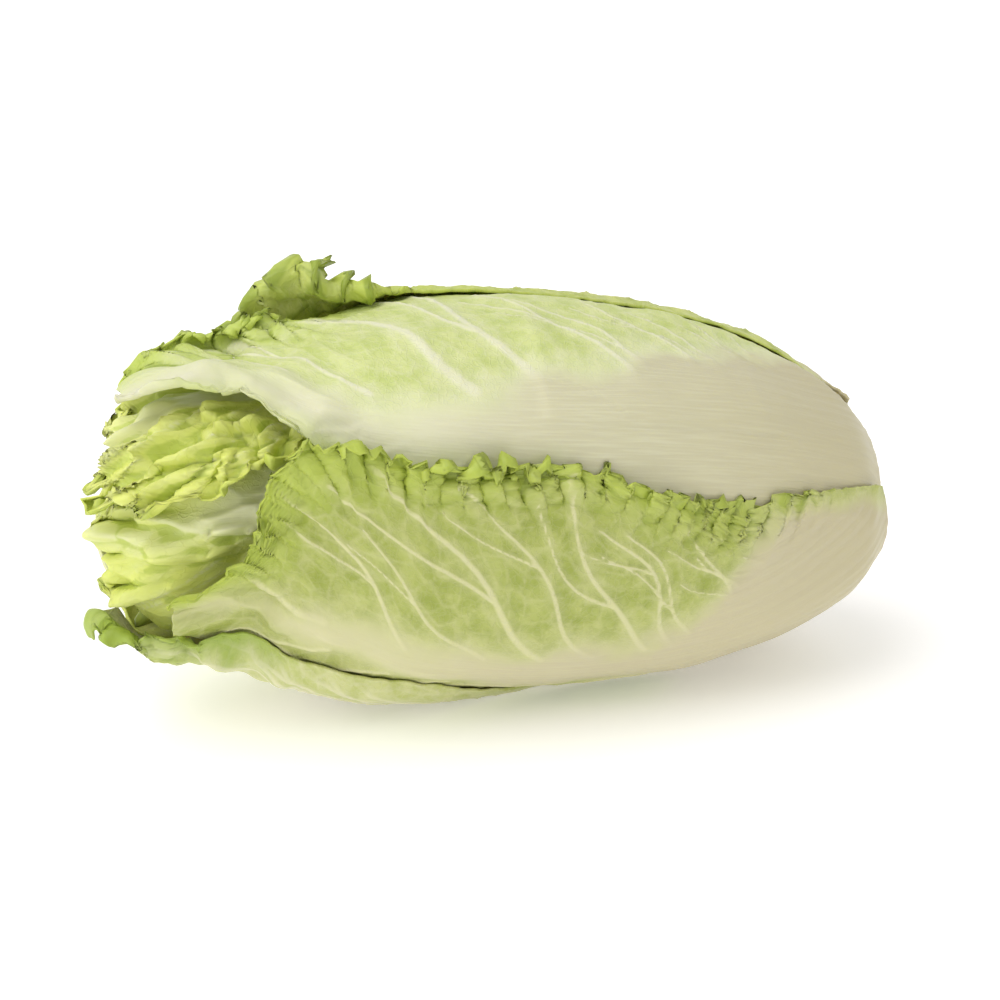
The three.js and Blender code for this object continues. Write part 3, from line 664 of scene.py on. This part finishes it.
def frills(where, inwards, strength, noises):
    """How far the frills stand out of the blade, and how far they sway along the edge."""
    out = 0
    sway = 0
    for k, (length, rise, deep) in enumerate(FRILLS):
        bent = 2.6 * noises[k](where / (2.1 * length), inwards / (1.5 * length))
        near = smooth(deep, 0, inwards) * strength
        uneven = 0.7 + 0.8 * noises[k + 1](where / (2.3 * length), k)
        out = out + rise * near * uneven * wave(where, length, bent)
        sway = sway - SWAY * length * near * wave(where, length / 2, 2 * bent)
    return out, sway


def small_leaves(leaf, x, t, noises):
    """Small leaves that overlap in an inner leaf's tip, one step of the blade for each.

    The heights of the steps, how far a place is from its step's edge, and the frills there.
    """
    here = smooth(TIERS_FROM, TIERS_TO, t)
    bend = 10 * noises[0](x / 13, t / 40) + 5 * noises[1](x / 6, t / 30)
    turn = (t + bend + 0.004 * x**2) / TIER_LENGTH
    share = turn - np.floor(turn)
    step = leaf.tiers * smooth(0, 0.8, share) * smooth(1, 0.86, share)
    folded = 0
    for k, (length, rise, _) in enumerate(FRILLS):
        folded = folded + rise * wave(x, length, 2.6 * noises[k](x / (2 * length), t / 12))
    folded = TIER_FRILLS * folded * smooth(0.1, 0.7, share) * smooth(1, 0.84, share)
    from_step = np.where(here > 0.3, TIER_EDGE + (1 - share) * TIER_LENGTH, np.inf)
    return step * here, from_step, folded * here


def frame_ruffles(leaf, p, x, t):
    """The frame's ruffles along the edge, and its folds in the tip."""
    margin, where = edge(leaf, p, t)
    wide = mix(RUFFLE_SIDE, RUFFLE_TIP, smooth(RUFFLE_FROM, RUFFLE_TO, t))
    turn = 2 * math.pi * where / RUFFLE_WAVE + leaf.phase
    ruffle = 0.5 + 0.5 * np.sin(turn + 1.1 * np.sin(0.37 * turn))
    near = np.clip(1 - margin / wide, 0, 1) ** 1.4
    folded = wave(t + 0.4 * x, CRUMPLE_WAVE, leaf.phase)
    across = wave(x - 0.3 * t, CRUMPLE_WAVE, 2 * leaf.phase)
    crumple = smooth(CRUMPLE_FROM, CRUMPLE_TO, t) * (0.5 + 0.5 * folded * across)
    return along(leaf.ruffle, t) * near * (0.15 + 0.85 * ruffle), CRUMPLE_HEIGHT * crumple


def ruffles(leaf, p, x, t, free, noises, cells):
    """The free edge's ruffles: the lift of the blade, and its shifts aside and along the rib.

    Then come the folds alone, how far a place is from the edge over the rolled blade, and where
    it lies on the blade once the roll has drawn it out.
    """
    ruffle, crumple = frame_ruffles(leaf, p, x, t)
    height = along(leaf.ruffle, t)
    margin, where, way = from_outline(leaf, x, t)
    full_turn = np.radians(of_side(p, *leaf.curl, t))
    uneven = 0.8 + 0.45 * noises[4](where / ROLL_WAVE, 0)
    radius = ROLLED * height * uneven / (1 - np.cos(full_turn))
    band = radius * np.sin(np.minimum(full_turn, math.pi / 2))
    into = np.clip(1 - margin / band, 0, 1)
    turned = full_turn * into
    drawn = radius * turned - band * into
    drawn_x = x + way[0] * drawn
    drawn_t = t + way[1] * drawn
    inwards = margin + (radius * full_turn - band) * (1 - into)
    towards = radius * np.sin(turned) - band * into
    lift = UNROLLED * ruffle + crumple + radius * (1 - np.cos(turned))

    frilled = of_side(p, *leaf.frilled, t)
    strength = np.clip(height / FULL_RUFFLE, 0.4, 1.2) * frilled
    folds, sway = frills(where, inwards, strength, noises)
    if leaf.tiers:
        step, from_step, folded = small_leaves(leaf, x, t, noises)
        lift = lift + step
        folds = folds + folded
        inwards = np.minimum(inwards, from_step)
    in_margin = smooth(BLISTER_BAND, 4, inwards) * strength
    blistered = np.maximum(in_margin, along(leaf.blistered, t))
    blistered = blistered * smooth(-2, 8, bare_rib(leaf, x, t, margin, noises))
    folds = folds + blistered * blisters(drawn_x, drawn_t, noises, cells[1:])
    lobes = sum(deep * noises[3](where / length, 5 * k) for k, (length, deep) in enumerate(LOBES))
    lobes = lobes * smooth(LOBE_BAND, 0, margin) * np.minimum(frilled, 1)
    lift = lift + folds * np.cos(turned) + lobes * np.sin(turned)
    towards = towards - folds * np.sin(turned) + lobes * np.cos(turned)
    aside = towards * way[0] - sway * way[1]
    ahead = towards * way[1] + sway * way[0]
    calm = smooth(*CALM_TIP, leaf.end - t) * smooth(*CALM_WIDTH, abs(x))
    lift, aside, ahead = (
        mix(moved * free, averaged(moved * free, CALM_CELLS), calm)
        for moved in (lift, aside, ahead)
    )
    return lift, (aside, ahead), folds * free, inwards, (drawn_x, drawn_t)


# ---- the pile of leaves

# The pile is a grid of heights over the chart, with a row for each mm along it.
AROUND = 360
ROWS = MERIDIAN_END + 1


def read_pile(grid, angle, t):
    a = angle / 360 * AROUND
    b = np.clip(t, 0, ROWS - 1)
    i = np.floor(a).astype(int)
    j = np.minimum(np.floor(b).astype(int), ROWS - 2)
    return between(lambda i, j: grid[j, i % AROUND], i, j, a - i, b - j)


def window(grid, join):
    """One pass of a window of BRIDGE mm each way: the most for np.maximum, the mean for np.add."""
    cell_width = girth(np.arange(ROWS)) * 2 * math.pi / AROUND
    reach_round = np.round(BRIDGE / cell_width).astype(int)[:, None]
    done = grid
    for d in range(1, reach_round.max() + 1):
        for step in (-d, d):
            done = np.where(d <= reach_round, join(done, np.roll(grid, step, axis=1)), done)
    most = join is np.maximum
    done = done if most else done / (2 * reach_round + 1)
    padded = np.pad(done, ((BRIDGE, BRIDGE), (0, 0)), mode="edge")
    rows = [padded[d : d + ROWS] for d in range(2 * BRIDGE + 1)]
    return np.max(rows, axis=0) if most else np.mean(rows, axis=0)


def bridged(grid):
    """The pile as a leaf bridges it: never lower than the pile, without its steps."""
    return window(window(grid, np.maximum), np.add)


def blurred(grid):
    """The pile without its finest steps."""
    return averaged(np.pad(grid, ((0, 0), (1, 1)), mode="wrap"), 1)[:, 1:-1]


def lay_on_pile(pile, angle, t, top):
    """Raises the pile to a grid of points, which are close enough together to touch every cell."""
    i = np.floor(angle / 360 * AROUND).astype(int)
    j = np.clip(np.floor(t).astype(int), 0, ROWS - 2)
    for di in (0, 1):
        for dj in (0, 1):
            np.maximum.at(pile, (j + dj, (i + di) % AROUND), top)


# ---- meshes


def quads_of(index):
    """The quads of a grid of vertex numbers."""
    corners = (index[:-1, :-1], index[:-1, 1:], index[1:, 1:], index[1:, :-1])
    return np.stack(corners, axis=-1).reshape(-1, 4)


def place(name, data):
    made = bpy.data.objects.new(name, data)
    bpy.context.collection.objects.link(made)
    return made


class Solid:
    """The points and quads of one mesh, with values at the points for its material."""

    def __init__(self):
        self.points = []
        self.quads = []
        self.values = {}
        self.count = 0

    def add(self, points, quads, values):
        """Adds a closed body, turned round if its faces point inwards."""
        a, b, c, d = (points[quads[:, k]] for k in range(4))
        volume = (np.cross(b, c) * a).sum() + (np.cross(c, d) * a).sum()
        self.quads.append((quads if volume > 0 else quads[:, ::-1]) + self.count)
        self.points.append(points)
        self.count += len(points)
        for name, value in values.items():
            self.values.setdefault(name, []).append(np.broadcast_to(value, len(points)))

    def sheet(self, outer, inner, values):
        """Adds a thin body between two grids of points."""
        rows, columns = outer.shape[:2]
        size = rows * columns
        top = np.arange(size).reshape(rows, columns)
        rim = np.concatenate([top[0, :-1], top[:-1, -1], top[-1, :0:-1], top[:0:-1, 0]])
        ahead = np.roll(rim, -1)
        walls = np.stack([rim, rim + size, ahead + size, ahead], axis=1)
        quads = np.concatenate([quads_of(top), quads_of(top + size)[:, ::-1], walls])
        points = np.concatenate([outer.reshape(-1, 3), inner.reshape(-1, 3)])
        on_both = {
            name: np.tile(np.broadcast_to(value, (rows, columns)).ravel(), 2)
            for name, value in values.items()
        }
        self.add(points, quads, on_both)

    def object(self, name, material):
        """The mesh object, in the part's frame and in metres."""
        points = np.concatenate(self.points) + SHIFT
        points[:, 2] = np.maximum(points[:, 2], 0)
        quads = np.concatenate(self.quads)
        mesh = bpy.data.meshes.new(name)
        mesh.vertices.add(len(points))
        mesh.vertices.foreach_set("co", (points * MM).astype(np.float32).ravel())
        mesh.loops.add(quads.size)
        mesh.loops.foreach_set("vertex_index", quads.astype(np.int32).ravel())
        mesh.polygons.add(len(quads))
        mesh.polygons.foreach_set("loop_start", np.arange(0, quads.size, 4, dtype=np.int32))
        mesh.polygons.foreach_set("use_smooth", np.ones(len(quads), bool))
        for key, parts in self.values.items():
            layer = mesh.attributes.new(key, "FLOAT", "POINT")
            layer.data.foreach_set("value", np.concatenate(parts).astype(np.float32))
        mesh.update(calc_edges=True)
        mesh.validate()
        mesh.materials.append(material)
        return place(name, mesh)


def unit(vectors):
    return vectors / (np.linalg.norm(vectors, axis=-1, keepdims=True) + 1e-9)


def outward(points):
    """Unit normals of a grid of points, away from the head and without its finest steps."""
    normal = unit(np.cross(np.gradient(points, axis=1), np.gradient(points, axis=0)))
    normal = unit(averaged(normal, 1))
    middle = (len(points) // 2, points.shape[1] // 2)
    x = points[middle][0]
    from_axis = points[middle] - (x, 0, -x * math.tan(LEAN))
    return normal if normal[middle] @ from_axis > 0 else -normal


# ---- the pieces' shapes


def leaf_places(leaf):
    """The grid over a leaf: places across it from -1 to 1, and along the meridian."""
    columns, rows = leaf.grid
    share = np.linspace(0, 1, rows + 1)[:, None]
    q = np.linspace(-1, 1, 2 * columns + 1)[None, :]
    p = np.sign(q) * (1 - (1 - abs(q)) ** COLUMN_CROWDING)
    base = leaf.start + BASE_ROUNDING * abs(p) ** 3
    t = mix(base, leaf.end - BLUNT, 1 - (1 - share) ** ROW_CROWDING)
    return np.broadcast_arrays(p, t)


def hang(leaf, p, t):
    rise = smooth(LOOSE_FROM, LOOSE_MOST, t) * (1 - smooth(LOOSE_MOST, LOOSE_TO, t))
    return leaf.loose * rise * (1 - p**4)


def wrapper_leaf(leaf, index, pile):
    """A wrapper leaf over the pile so far, which it is then added to."""
    noises = [Noise(100 * index + k) for k in range(5)]
    cells = [Cells(100 * index + k) for k in range(3)]
    p, t = leaf_places(leaf)
    angle = along(leaf.rib, t) + p * reach(leaf, p, t)
    x = p * reach(leaf, p, t) * np.radians(girth(t))
    free = freedom(index, angle, t)
    lift, (aside, ahead), folds, inwards, drawn = ruffles(leaf, p, x, t, free, noises, cells)
    relief, vein, net, bare = blade_relief(leaf, x, t, inwards, noises, cells)
    settled = smooth(SETTLED_BAND, 0, inwards) * along(leaf.settled, t) * smooth(*SETTLED_FROM, t)
    below = mix(read_pile(bridged(pile), angle, t), read_pile(blurred(pile), angle, t), settled)
    low = below + mix(GAP, SETTLED_GAP, settled) + (hang(leaf, p, t) + lift) * (1 - settled)
    thick = thickness(leaf, x, t, inwards)
    high = low + thick + relief
    angle = angle + np.degrees(aside / girth(t))
    t = np.clip(t + ahead, leaf.start, MERIDIAN_END - 1)
    outer = over_chart(angle, t, high)
    inner = outer - outward(outer) * (thick + INNER_RELIEF * relief)[..., None]
    lay_on_pile(pile, angle, t, high)
    solid = Solid()
    solid.sheet(outer, inner, {
        "aside": drawn[0],
        "along": drawn[1],
        "vein": np.minimum(vein, 4),
        "net": net,
        "bare": bare,
        "margin": inwards + leaf.paled * smooth(-0.25, 0.2, p),
        "crest": hollows(folds),
    })
    return solid


def place_on_chart(w, radius):
    """The distance along the meridian under a point, and the point's height over it."""
    mw, mr, axial, radial = meridian(np.arange(MERIDIAN_END + 1))
    far = (w[..., None] - mw) ** 2 + (radius[..., None] - mr) ** 2
    best = far.argmin(axis=-1)
    height = (w - mw[best]) * axial[best] + (radius - mr[best]) * radial[best]
    return best.astype(float), height


def rosette_leaf(solid, n, pile):
    """Adds one inner leaf, from its root in the core to its rolled edge, and lays it on the pile."""
    noises = [Noise(900 + 10 * n + k) for k in range(3)]
    cells = [Cells(900 + 10 * n + k) for k in range(2)]
    pairs = (ROOT_DISTANCE, ROOT_RADIUS, ROSETTE_HALF_WIDTH, ROSETTE_LEAN, ROSETTE_ROLL)
    from_cut, root, half_width, lean, roll = (mix(*pair, n / (ROSETTE_COUNT - 1)) for pair in pairs)
    rows, columns = ROSETTE_GRID
    v = np.linspace(0, 1, rows + 1)[:, None]
    u = np.linspace(-1, 1, columns + 1)[None, :]
    arc = u * half_width * mix(0.8, 1, v)
    straight = ROSETTE_HEIGHT * (1 - 0.3 * u**2) + ROSETTE_SUNK - roll
    up = v * (straight + roll * ROSETTE_TURN_OUT)
    turned = np.clip((up - straight) / roll, 0, ROSETTE_TURN_OUT)
    folds = ROSETTE_BLISTERS * smooth(0.1, 0.5, v) * blisters(arc, up, noises, cells)
    sway = 0
    for k, (length, height, start) in enumerate(ROSETTE_FRILLS):
        bent = 2.4 * noises[k](arc / length / 2, up / length / 1.5)
        near = smooth(start, 1, v)
        folds = folds + height * near * wave(arc, length, bent)
        sway = sway - SWAY * length * near * wave(arc, length / 2, 2 * bent)
    bow = ROSETTE_BOW * np.sin(0.55 * math.pi * v)
    ruffle = ROSETTE_RUFFLE * smooth(0.25, 1, v) * wave(arc, ROSETTE_WAVE, n * ROSETTE_PHASE_STEP)
    out = ruffle + roll * (1 - np.cos(turned)) + folds * np.cos(turned)
    radius = np.maximum(root + lean * v + bow + out, ROSETTE_THICKNESS)
    w = from_cut - ROSETTE_SUNK + np.minimum(up, straight) + (roll - folds) * np.sin(turned)
    centre = ROSETTE_FIRST + n * ROSETTE_TURN
    angle = centre + np.degrees((arc + sway) / (root + ROSETTE_SLACK))
    outer = head_point(w, radius, angle)
    inner = outer - outward(outer) * ROSETTE_THICKNESS
    lay_on_pile(pile, angle, *place_on_chart(w, radius))
    solid.sheet(outer, inner, {"rise": v, "aside": arc, "crest": hollows(folds), "core": 0})


def revolved(w, radius, around):
    """The points and quads of a closed body turned round the head's axis, from its profile."""
    angle = np.linspace(0, 360, around, endpoint=False)[:, None]
    points = head_point(np.array(w)[None, :], np.array(radius)[None, :], angle)
    index = np.arange(around * len(w)).reshape(around, len(w))
    return points.reshape(-1, 3), quads_of(np.concatenate([index, index[:1]]))


def heart(pile):
    """The dense core with its socket for the stem, and the rosette of inner leaves."""
    solid = Solid()
    t = np.arange(0, MERIDIAN_END + 1, 3)
    w, r, axial, radial = meridian(t)
    height = core_height(t)
    socket = STEM_CUT_RADIUS + STEM_GAP
    deep = STEM_LENGTH + STEM_GAP
    profile_w = [deep, deep, 0, 0.2, *(w + axial * height)]
    profile_r = [AXIS, STEM_TOP_RADIUS + STEM_GAP, socket, socket + 0.6, *(r + radial * height)]
    points, quads = revolved(profile_w, np.maximum(profile_r, AXIS), CORE_AROUND)
    solid.add(points, quads, {"rise": 0, "aside": 0, "crest": 0, "core": 1})
    for n in range(ROSETTE_COUNT):
        rosette_leaf(solid, n, pile)
    return solid


def stem():
    """The stem's cone, with its cut face a little uneven."""
    solid = Solid()
    face = np.linspace(AXIS, STEM_CUT_RADIUS - CUT_BEVEL[1], 24)
    side = np.linspace(0, 1, 40)
    depth = [*(0 * face), *(STEM_LENGTH * side), STEM_LENGTH]
    depth[len(face)] = CUT_BEVEL[0]
    radius = [*face, *mix(STEM_CUT_RADIUS, STEM_TOP_RADIUS, side), AXIS]
    points, quads = revolved(depth, radius, STEM_AROUND)
    depth = np.tile(depth, STEM_AROUND)
    dent = 0.5 + 0.5 * Noise(77)(points[:, 1] / 4, points[:, 2] / 4)
    points[:, 0] -= CUT_DENT * dent * (depth == 0)
    solid.add(points, quads, {"radius": np.tile(radius, STEM_AROUND)})
    return solid


# ---- materials


def colour(red, green, blue):
    """A linear colour from one as seen on a screen, 0 to 255."""
    seen = np.array([red, green, blue]) / 255
    linear = np.where(seen <= 0.04045, seen / 12.92, ((seen + 0.055) / 1.055) ** 2.4)
    return (*linear, 1.0)


@dataclass
class Look:
    """A leaf's colours."""

    blade: tuple
    deep: tuple  # the darker places of the blade
    vein: tuple
    margin: tuple
    rib: tuple
    band: float  # how wide the green band along its margin is
    vein_width: float = 1.1  # half of it
    shade: tuple = colour(136, 156, 48)  # painted shade in the valleys of its frills
    greened: tuple = (-40.0, 30.0)  # the distances along it between which its margin turns green


LOOKS = {
    "inner": Look(
        blade=colour(232, 238, 158), deep=colour(212, 222, 116), vein=colour(232, 234, 186),
        margin=colour(220, 228, 118), shade=colour(186, 202, 86), rib=colour(232, 230, 196),
        band=26,
    ),
    "top": Look(
        blade=colour(208, 216, 148), deep=colour(188, 202, 116), vein=colour(226, 226, 196),
        margin=colour(186, 204, 86), rib=colour(202, 198, 166),
        band=16,
    ),
    "back": Look(
        blade=colour(200, 208, 122), deep=colour(164, 178, 80), vein=colour(222, 224, 176),
        margin=colour(190, 206, 86), rib=colour(202, 196, 164),
        band=24, greened=(110.0, 215.0),
    ),
    "front": Look(
        blade=colour(178, 186, 104), deep=colour(152, 164, 70), vein=colour(214, 212, 164),
        margin=colour(180, 196, 80), shade=colour(164, 180, 72), rib=colour(202, 194, 162),
        band=20, greened=(40.0, 130.0),
    ),
    "ground": Look(
        blade=colour(206, 209, 146), deep=colour(184, 192, 108), vein=colour(232, 228, 200),
        margin=colour(156, 180, 68), rib=colour(206, 198, 168),
        band=12, greened=(225.0, 262.0), vein_width=2.2,
    ),
}
# Painted shade: the colour the ribs darken to towards the butt, the end that lies away from the light.
BUTT_SHADE = colour(192, 183, 148)
BROWNED = colour(186, 158, 108)
# Noise in the leaves' skins: its scale to a mm, its detail and its roughness.
MOTTLE = (0.11, 4.0, 0.6)
SPOTS, STRIPES = (0.5, 3.0), (0.3, 3.0)


class Shader:
    """A material's node tree, with short names for the nodes used below."""

    def __init__(self, name):
        self.material = bpy.data.materials.new(name)
        self.material.use_nodes = True
        self.tree = self.material.node_tree
        self.surface = self.tree.nodes["Principled BSDF"].inputs

    def set(self, inputs, values):
        for key, value in values.items():
            if isinstance(value, bpy.types.NodeSocket):
                self.tree.links.new(value, inputs[key])
            else:
                inputs[key].default_value = value

    def node(self, kind, values, output=0, **settings):
        """An output of a new node, made from its inputs' values and its own settings."""
        node = self.tree.nodes.new("ShaderNode" + kind)
        for name, value in settings.items():
            setattr(node, name, value)
        self.set(node.inputs, values)
        return node.outputs[output]

    def value(self, name):
        return self.node("Attribute", {}, "Fac", attribute_name=name)

    def vector(self, x, y):
        return self.node("CombineXYZ", {"X": x, "Y": y})

    def math(self, operation, *values):
        return self.node("Math", dict(enumerate(values)), operation=operation)

    def times(self, a, b):
        return self.math("MULTIPLY", a, b)

    def plus(self, a, share, b):
        """A share of a, added to b."""
        return self.math("MULTIPLY_ADD", a, share, b)

    def step(self, low, high, x):
        """From 0 at low to 1 at high, smoothly. Low may be the larger."""
        values = {"Value": x, "From Min": min(low, high), "From Max": max(low, high)}
        values["To Min"], values["To Max"] = (1.0, 0.0) if low > high else (0.0, 1.0)
        return self.node("MapRange", values, interpolation_type="SMOOTHSTEP")

    def blend(self, a, b, share, strength=None):
        """From a towards b."""
        if strength is not None:
            share = self.times(share, strength)
        return self.node("Mix", {0: share, 6: a, 7: b}, 2, data_type="RGBA")

    def noise(self, vector, scale, detail=2.0, roughness=0.5):
        values = {"Vector": vector, "Scale": scale, "Detail": detail, "Roughness": roughness}
        return self.node("TexNoise", values, "Fac")

    def net(self, vector, scale):
        """The distance from the lines of a random net."""
        values = {"Vector": vector, "Scale": scale}
        return self.node("TexVoronoi", values, "Distance", feature="DISTANCE_TO_EDGE")

    def bump(self, height, depth, strength):
        """Relief that is depth mm high where height is 1."""
        return self.node("Bump", {"Height": height, "Distance": depth * MM, "Strength": strength})

    def skin(self, seen, bump, roughness, glow, glow_depth):
        """The finished skin, with its gloss and the light that passes under it, to a depth in mm."""
        self.set(self.surface, {
            "Base Color": seen,
            "Normal": bump,
            "Roughness": roughness,
            "Specular IOR Level": 0.4,
            "Subsurface Weight": glow,
            "Subsurface Radius": (1.0, 0.9, 0.3),
            "Subsurface Scale": glow_depth * MM,
        })
        return self.material


def leaf_material(name, look):
    """A leaf's skin: mottled blade, veins and their net, green margin, cream rib, painted shade and
    light.
    """
    s = Shader(name)
    x, t, bare, margin = (s.value(key) for key in ("aside", "along", "bare", "margin"))
    vein, crest = s.value("vein"), s.value("crest")
    flat = s.vector(x, t)
    mottle = s.noise(flat, *MOTTLE)
    spots = s.noise(flat, *SPOTS)
    stripe = s.noise(s.vector(s.times(x, 4.0), s.times(t, 0.15)), *STRIPES)
    bent = s.vector(s.plus(s.noise(flat, 0.3), 3.0, x), s.plus(s.noise(flat, 0.27), 3.0, t))
    on_blade = s.step(-2.0, 9.0, bare)
    net = s.times(s.step(0.22, 0.0, s.value("net")), on_blade)
    fine_net = s.times(s.step(0.12, 0.0, s.net(bent, 0.4)), on_blade)
    fade = s.times(s.step(-9.0, 1.0, bare), s.step(0.0, 14.0, margin))
    on_vein = s.times(s.step(1.05, 0.25, vein), fade)
    beside_vein = s.times(s.step(4.0, 1.0, vein), fade)
    edge_from = s.plus(mottle, 14.0, margin)
    greener = s.times(s.step(look.band + 7.0, 7.0, edge_from), 0.9)
    # painted light: the crests of the frills, which stand above their surroundings, are lightened
    lit_crest = s.times(s.step(0.3, 1.8, crest), s.step(4.0, 26.0, margin))

    blade = s.blend(look.deep, look.blade, s.step(0.3, 0.66, mottle))
    blade = s.blend(blade, look.deep, s.step(0.52, 0.75, spots), 0.4)
    blade = s.blend(blade, look.vein, net, 0.22)
    blade = s.blend(blade, look.vein, fine_net, 0.1)
    blade = s.blend(blade, look.margin, greener, s.step(*look.greened, t))
    blade = s.blend(blade, look.vein, s.step(20.0, 0.0, bare), 0.55)
    blade = s.blend(blade, look.vein, beside_vein, 0.18)
    blade = s.blend(blade, look.vein, on_vein, 0.85)
    # painted shade: the valleys of the frills, where a place lies below its surroundings, are darkened
    blade = s.blend(blade, look.shade, s.step(0.0, -1.5, crest), 0.75)
    blade = s.blend(blade, look.vein, lit_crest, 0.3)
    rib = s.blend(look.rib, look.vein, s.step(0.4, 0.7, stripe), 0.3)
    # painted shade: the rib turns darker towards the butt
    rib = s.blend(rib, BUTT_SHADE, s.step(150.0, 20.0, t), 0.8)
    rib = s.blend(rib, look.vein, s.step(150.0, 215.0, t), 0.7)
    all_over = s.blend(rib, blade, s.step(-5.0, 11.0, s.plus(mottle, 4.0, bare)))
    browned = s.blend(all_over, BROWNED, s.step(7.0, 2.0, s.plus(spots, 4.0, t)), 0.5)
    raised = s.plus(spots, 0.5, s.times(fine_net, 0.5))
    height = s.math("ADD", raised, s.times(stripe, s.step(2.0, -4.0, bare)))
    bump = s.bump(height, depth=0.4, strength=0.5)
    return s.skin(browned, bump, roughness=0.42, glow=0.2, glow_depth=2.5)


def heart_material():
    """The inner leaves' skin, lime frills over paler blades with painted shade in their valleys, and
    the core's.
    """
    s = Shader("heart_skin")
    rise = s.value("rise")
    flat = s.vector(s.value("aside"), s.times(rise, 45.0))
    mottle = s.noise(flat, 0.14, 4.0, 0.6)
    net = s.step(0.1, 0.02, s.net(flat, 0.2))
    blade = s.blend(colour(176, 194, 78), colour(212, 220, 124), s.step(0.3, 0.7, mottle))
    blade = s.blend(blade, colour(228, 230, 172), s.step(0.6, 0.2, rise), 0.7)
    blade = s.blend(blade, colour(226, 230, 160), net, 0.35)
    # painted shade: the valleys of the frills are darkened
    blade = s.blend(blade, colour(150, 168, 54), s.step(0.0, -2.0, s.value("crest")), 0.6)
    core = s.blend(colour(206, 199, 164), colour(192, 186, 140), mottle)
    both_parts = s.blend(blade, core, s.value("core"))
    height = s.plus(net, 0.5, mottle)
    bump = s.bump(height, depth=0.5, strength=0.6)
    return s.skin(both_parts, bump, roughness=0.45, glow=0.15, glow_depth=2.5)


def stem_material():
    """The cut stem: fibrous cream pith, a ring of strands, and a browned rim."""
    s = Shader("stem_flesh")
    radius = s.value("radius")
    place = s.node("TexCoord", {}, "Object")
    grain = s.noise(place, 500.0, 3.0, 0.6)
    blotch = s.noise(place, 110.0, 3.0)
    ring_wave = s.math("SINE", s.plus(blotch, 3.0, s.times(radius, 2.1)))
    rings = s.times(s.step(0.2, 1.0, ring_wave), s.step(5.0, 9.0, radius))
    flesh = s.blend(colour(226, 216, 176), colour(204, 188, 138), s.step(0.35, 0.7, grain))
    flesh = s.blend(flesh, colour(190, 170, 116), rings, 0.5)
    flesh = s.blend(flesh, colour(232, 226, 190), s.step(0.12, 0.02, s.net(place, 420.0)), 0.3)
    flesh = s.blend(flesh, BROWNED, s.step(12.0, 15.0, s.plus(blotch, 2.0, radius)), 0.7)
    height = s.plus(grain, 0.6, s.times(ring_wave, 0.3))
    bump = s.bump(height, depth=0.4, strength=0.7)
    return s.skin(flesh, bump, roughness=0.6, glow=0.1, glow_depth=2.0)


def floor_material():
    s = Shader("floor_paper")
    s.set(s.surface, {
        "Base Color": (0.96, 0.965, 0.98, 1.0),
        "Roughness": 0.9,
        "Specular IOR Level": 0.1,
        "Emission Color": (1.0, 0.99, 0.98, 1.0),
        "Emission Strength": FLOOR_GLOW,
    })
    return s.material


# ---- the cabbage


def place_piece(solid, name, material):
    piece = solid.object("fine_" + name, material)
    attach(piece, "root")
    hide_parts(name)


def cabbage():
    pile = np.repeat(core_height(np.arange(ROWS))[:, None], AROUND, axis=1)
    place_piece(stem(), "stem", stem_material())
    place_piece(heart(pile), "heart", heart_material())
    skins = {name: leaf_material(name + "_leaf_skin", look) for name, look in LOOKS.items()}
    for index, leaf in enumerate(LEAVES):
        solid = wrapper_leaf(leaf, index, pile)
        place_piece(solid, leaf.name, skins[leaf.look])


# ---- the studio

CAMERA_AZIMUTH = math.radians(-15)
CAMERA_ELEVATION = math.radians(20)
CAMERA_DISTANCE = 1.03
CAMERA_TARGET = Vector((0.0084, 0.0021, 0.0698))
SUN_FROM = Vector((-0.7, -0.15, 1.0))
SUN_STRENGTH = 1.5
SUN_SPREAD = math.radians(60)
SKY_STRENGTH = 0.74
FLOOR_GLOW = 0.22  # a light table under the paper
FLOOR_HALF = 6.0


def camera():
    made = place("camera", bpy.data.cameras.new("camera"))
    made.data.lens = 100
    made.data.sensor_width = 36
    made.data.clip_start = 0.01
    back = Vector((
        math.sin(CAMERA_AZIMUTH) * math.cos(CAMERA_ELEVATION),
        -math.cos(CAMERA_AZIMUTH) * math.cos(CAMERA_ELEVATION),
        math.sin(CAMERA_ELEVATION),
    ))
    made.location = CAMERA_TARGET + CAMERA_DISTANCE * back
    made.rotation_euler = back.to_track_quat("Z", "Y").to_euler()
    bpy.context.scene.camera = made


def studio():
    mesh = bpy.data.meshes.new("floor")
    corners = [(x * FLOOR_HALF, y * FLOOR_HALF, 0) for x, y in ((-1, -1), (1, -1), (1, 1), (-1, 1))]
    mesh.from_pydata(corners, [], [(0, 1, 2, 3)])
    mesh.materials.append(floor_material())
    place("floor", mesh)
    sun = place("sun", bpy.data.lights.new("sun", "SUN"))
    sun.data.energy = SUN_STRENGTH
    sun.data.angle = SUN_SPREAD
    sun.data.color = (1.0, 0.98, 0.94)
    sun.rotation_euler = SUN_FROM.to_track_quat("Z", "Y").to_euler()
    world = bpy.data.worlds.new("sky")
    world.use_nodes = True
    background = world.node_tree.nodes["Background"]
    background.inputs["Color"].default_value = (1.0, 0.99, 0.97, 1.0)
    background.inputs["Strength"].default_value = SKY_STRENGTH
    bpy.context.scene.world = world
    bpy.context.scene.view_settings.view_transform = "Standard"


camera()
studio()
cabbage()
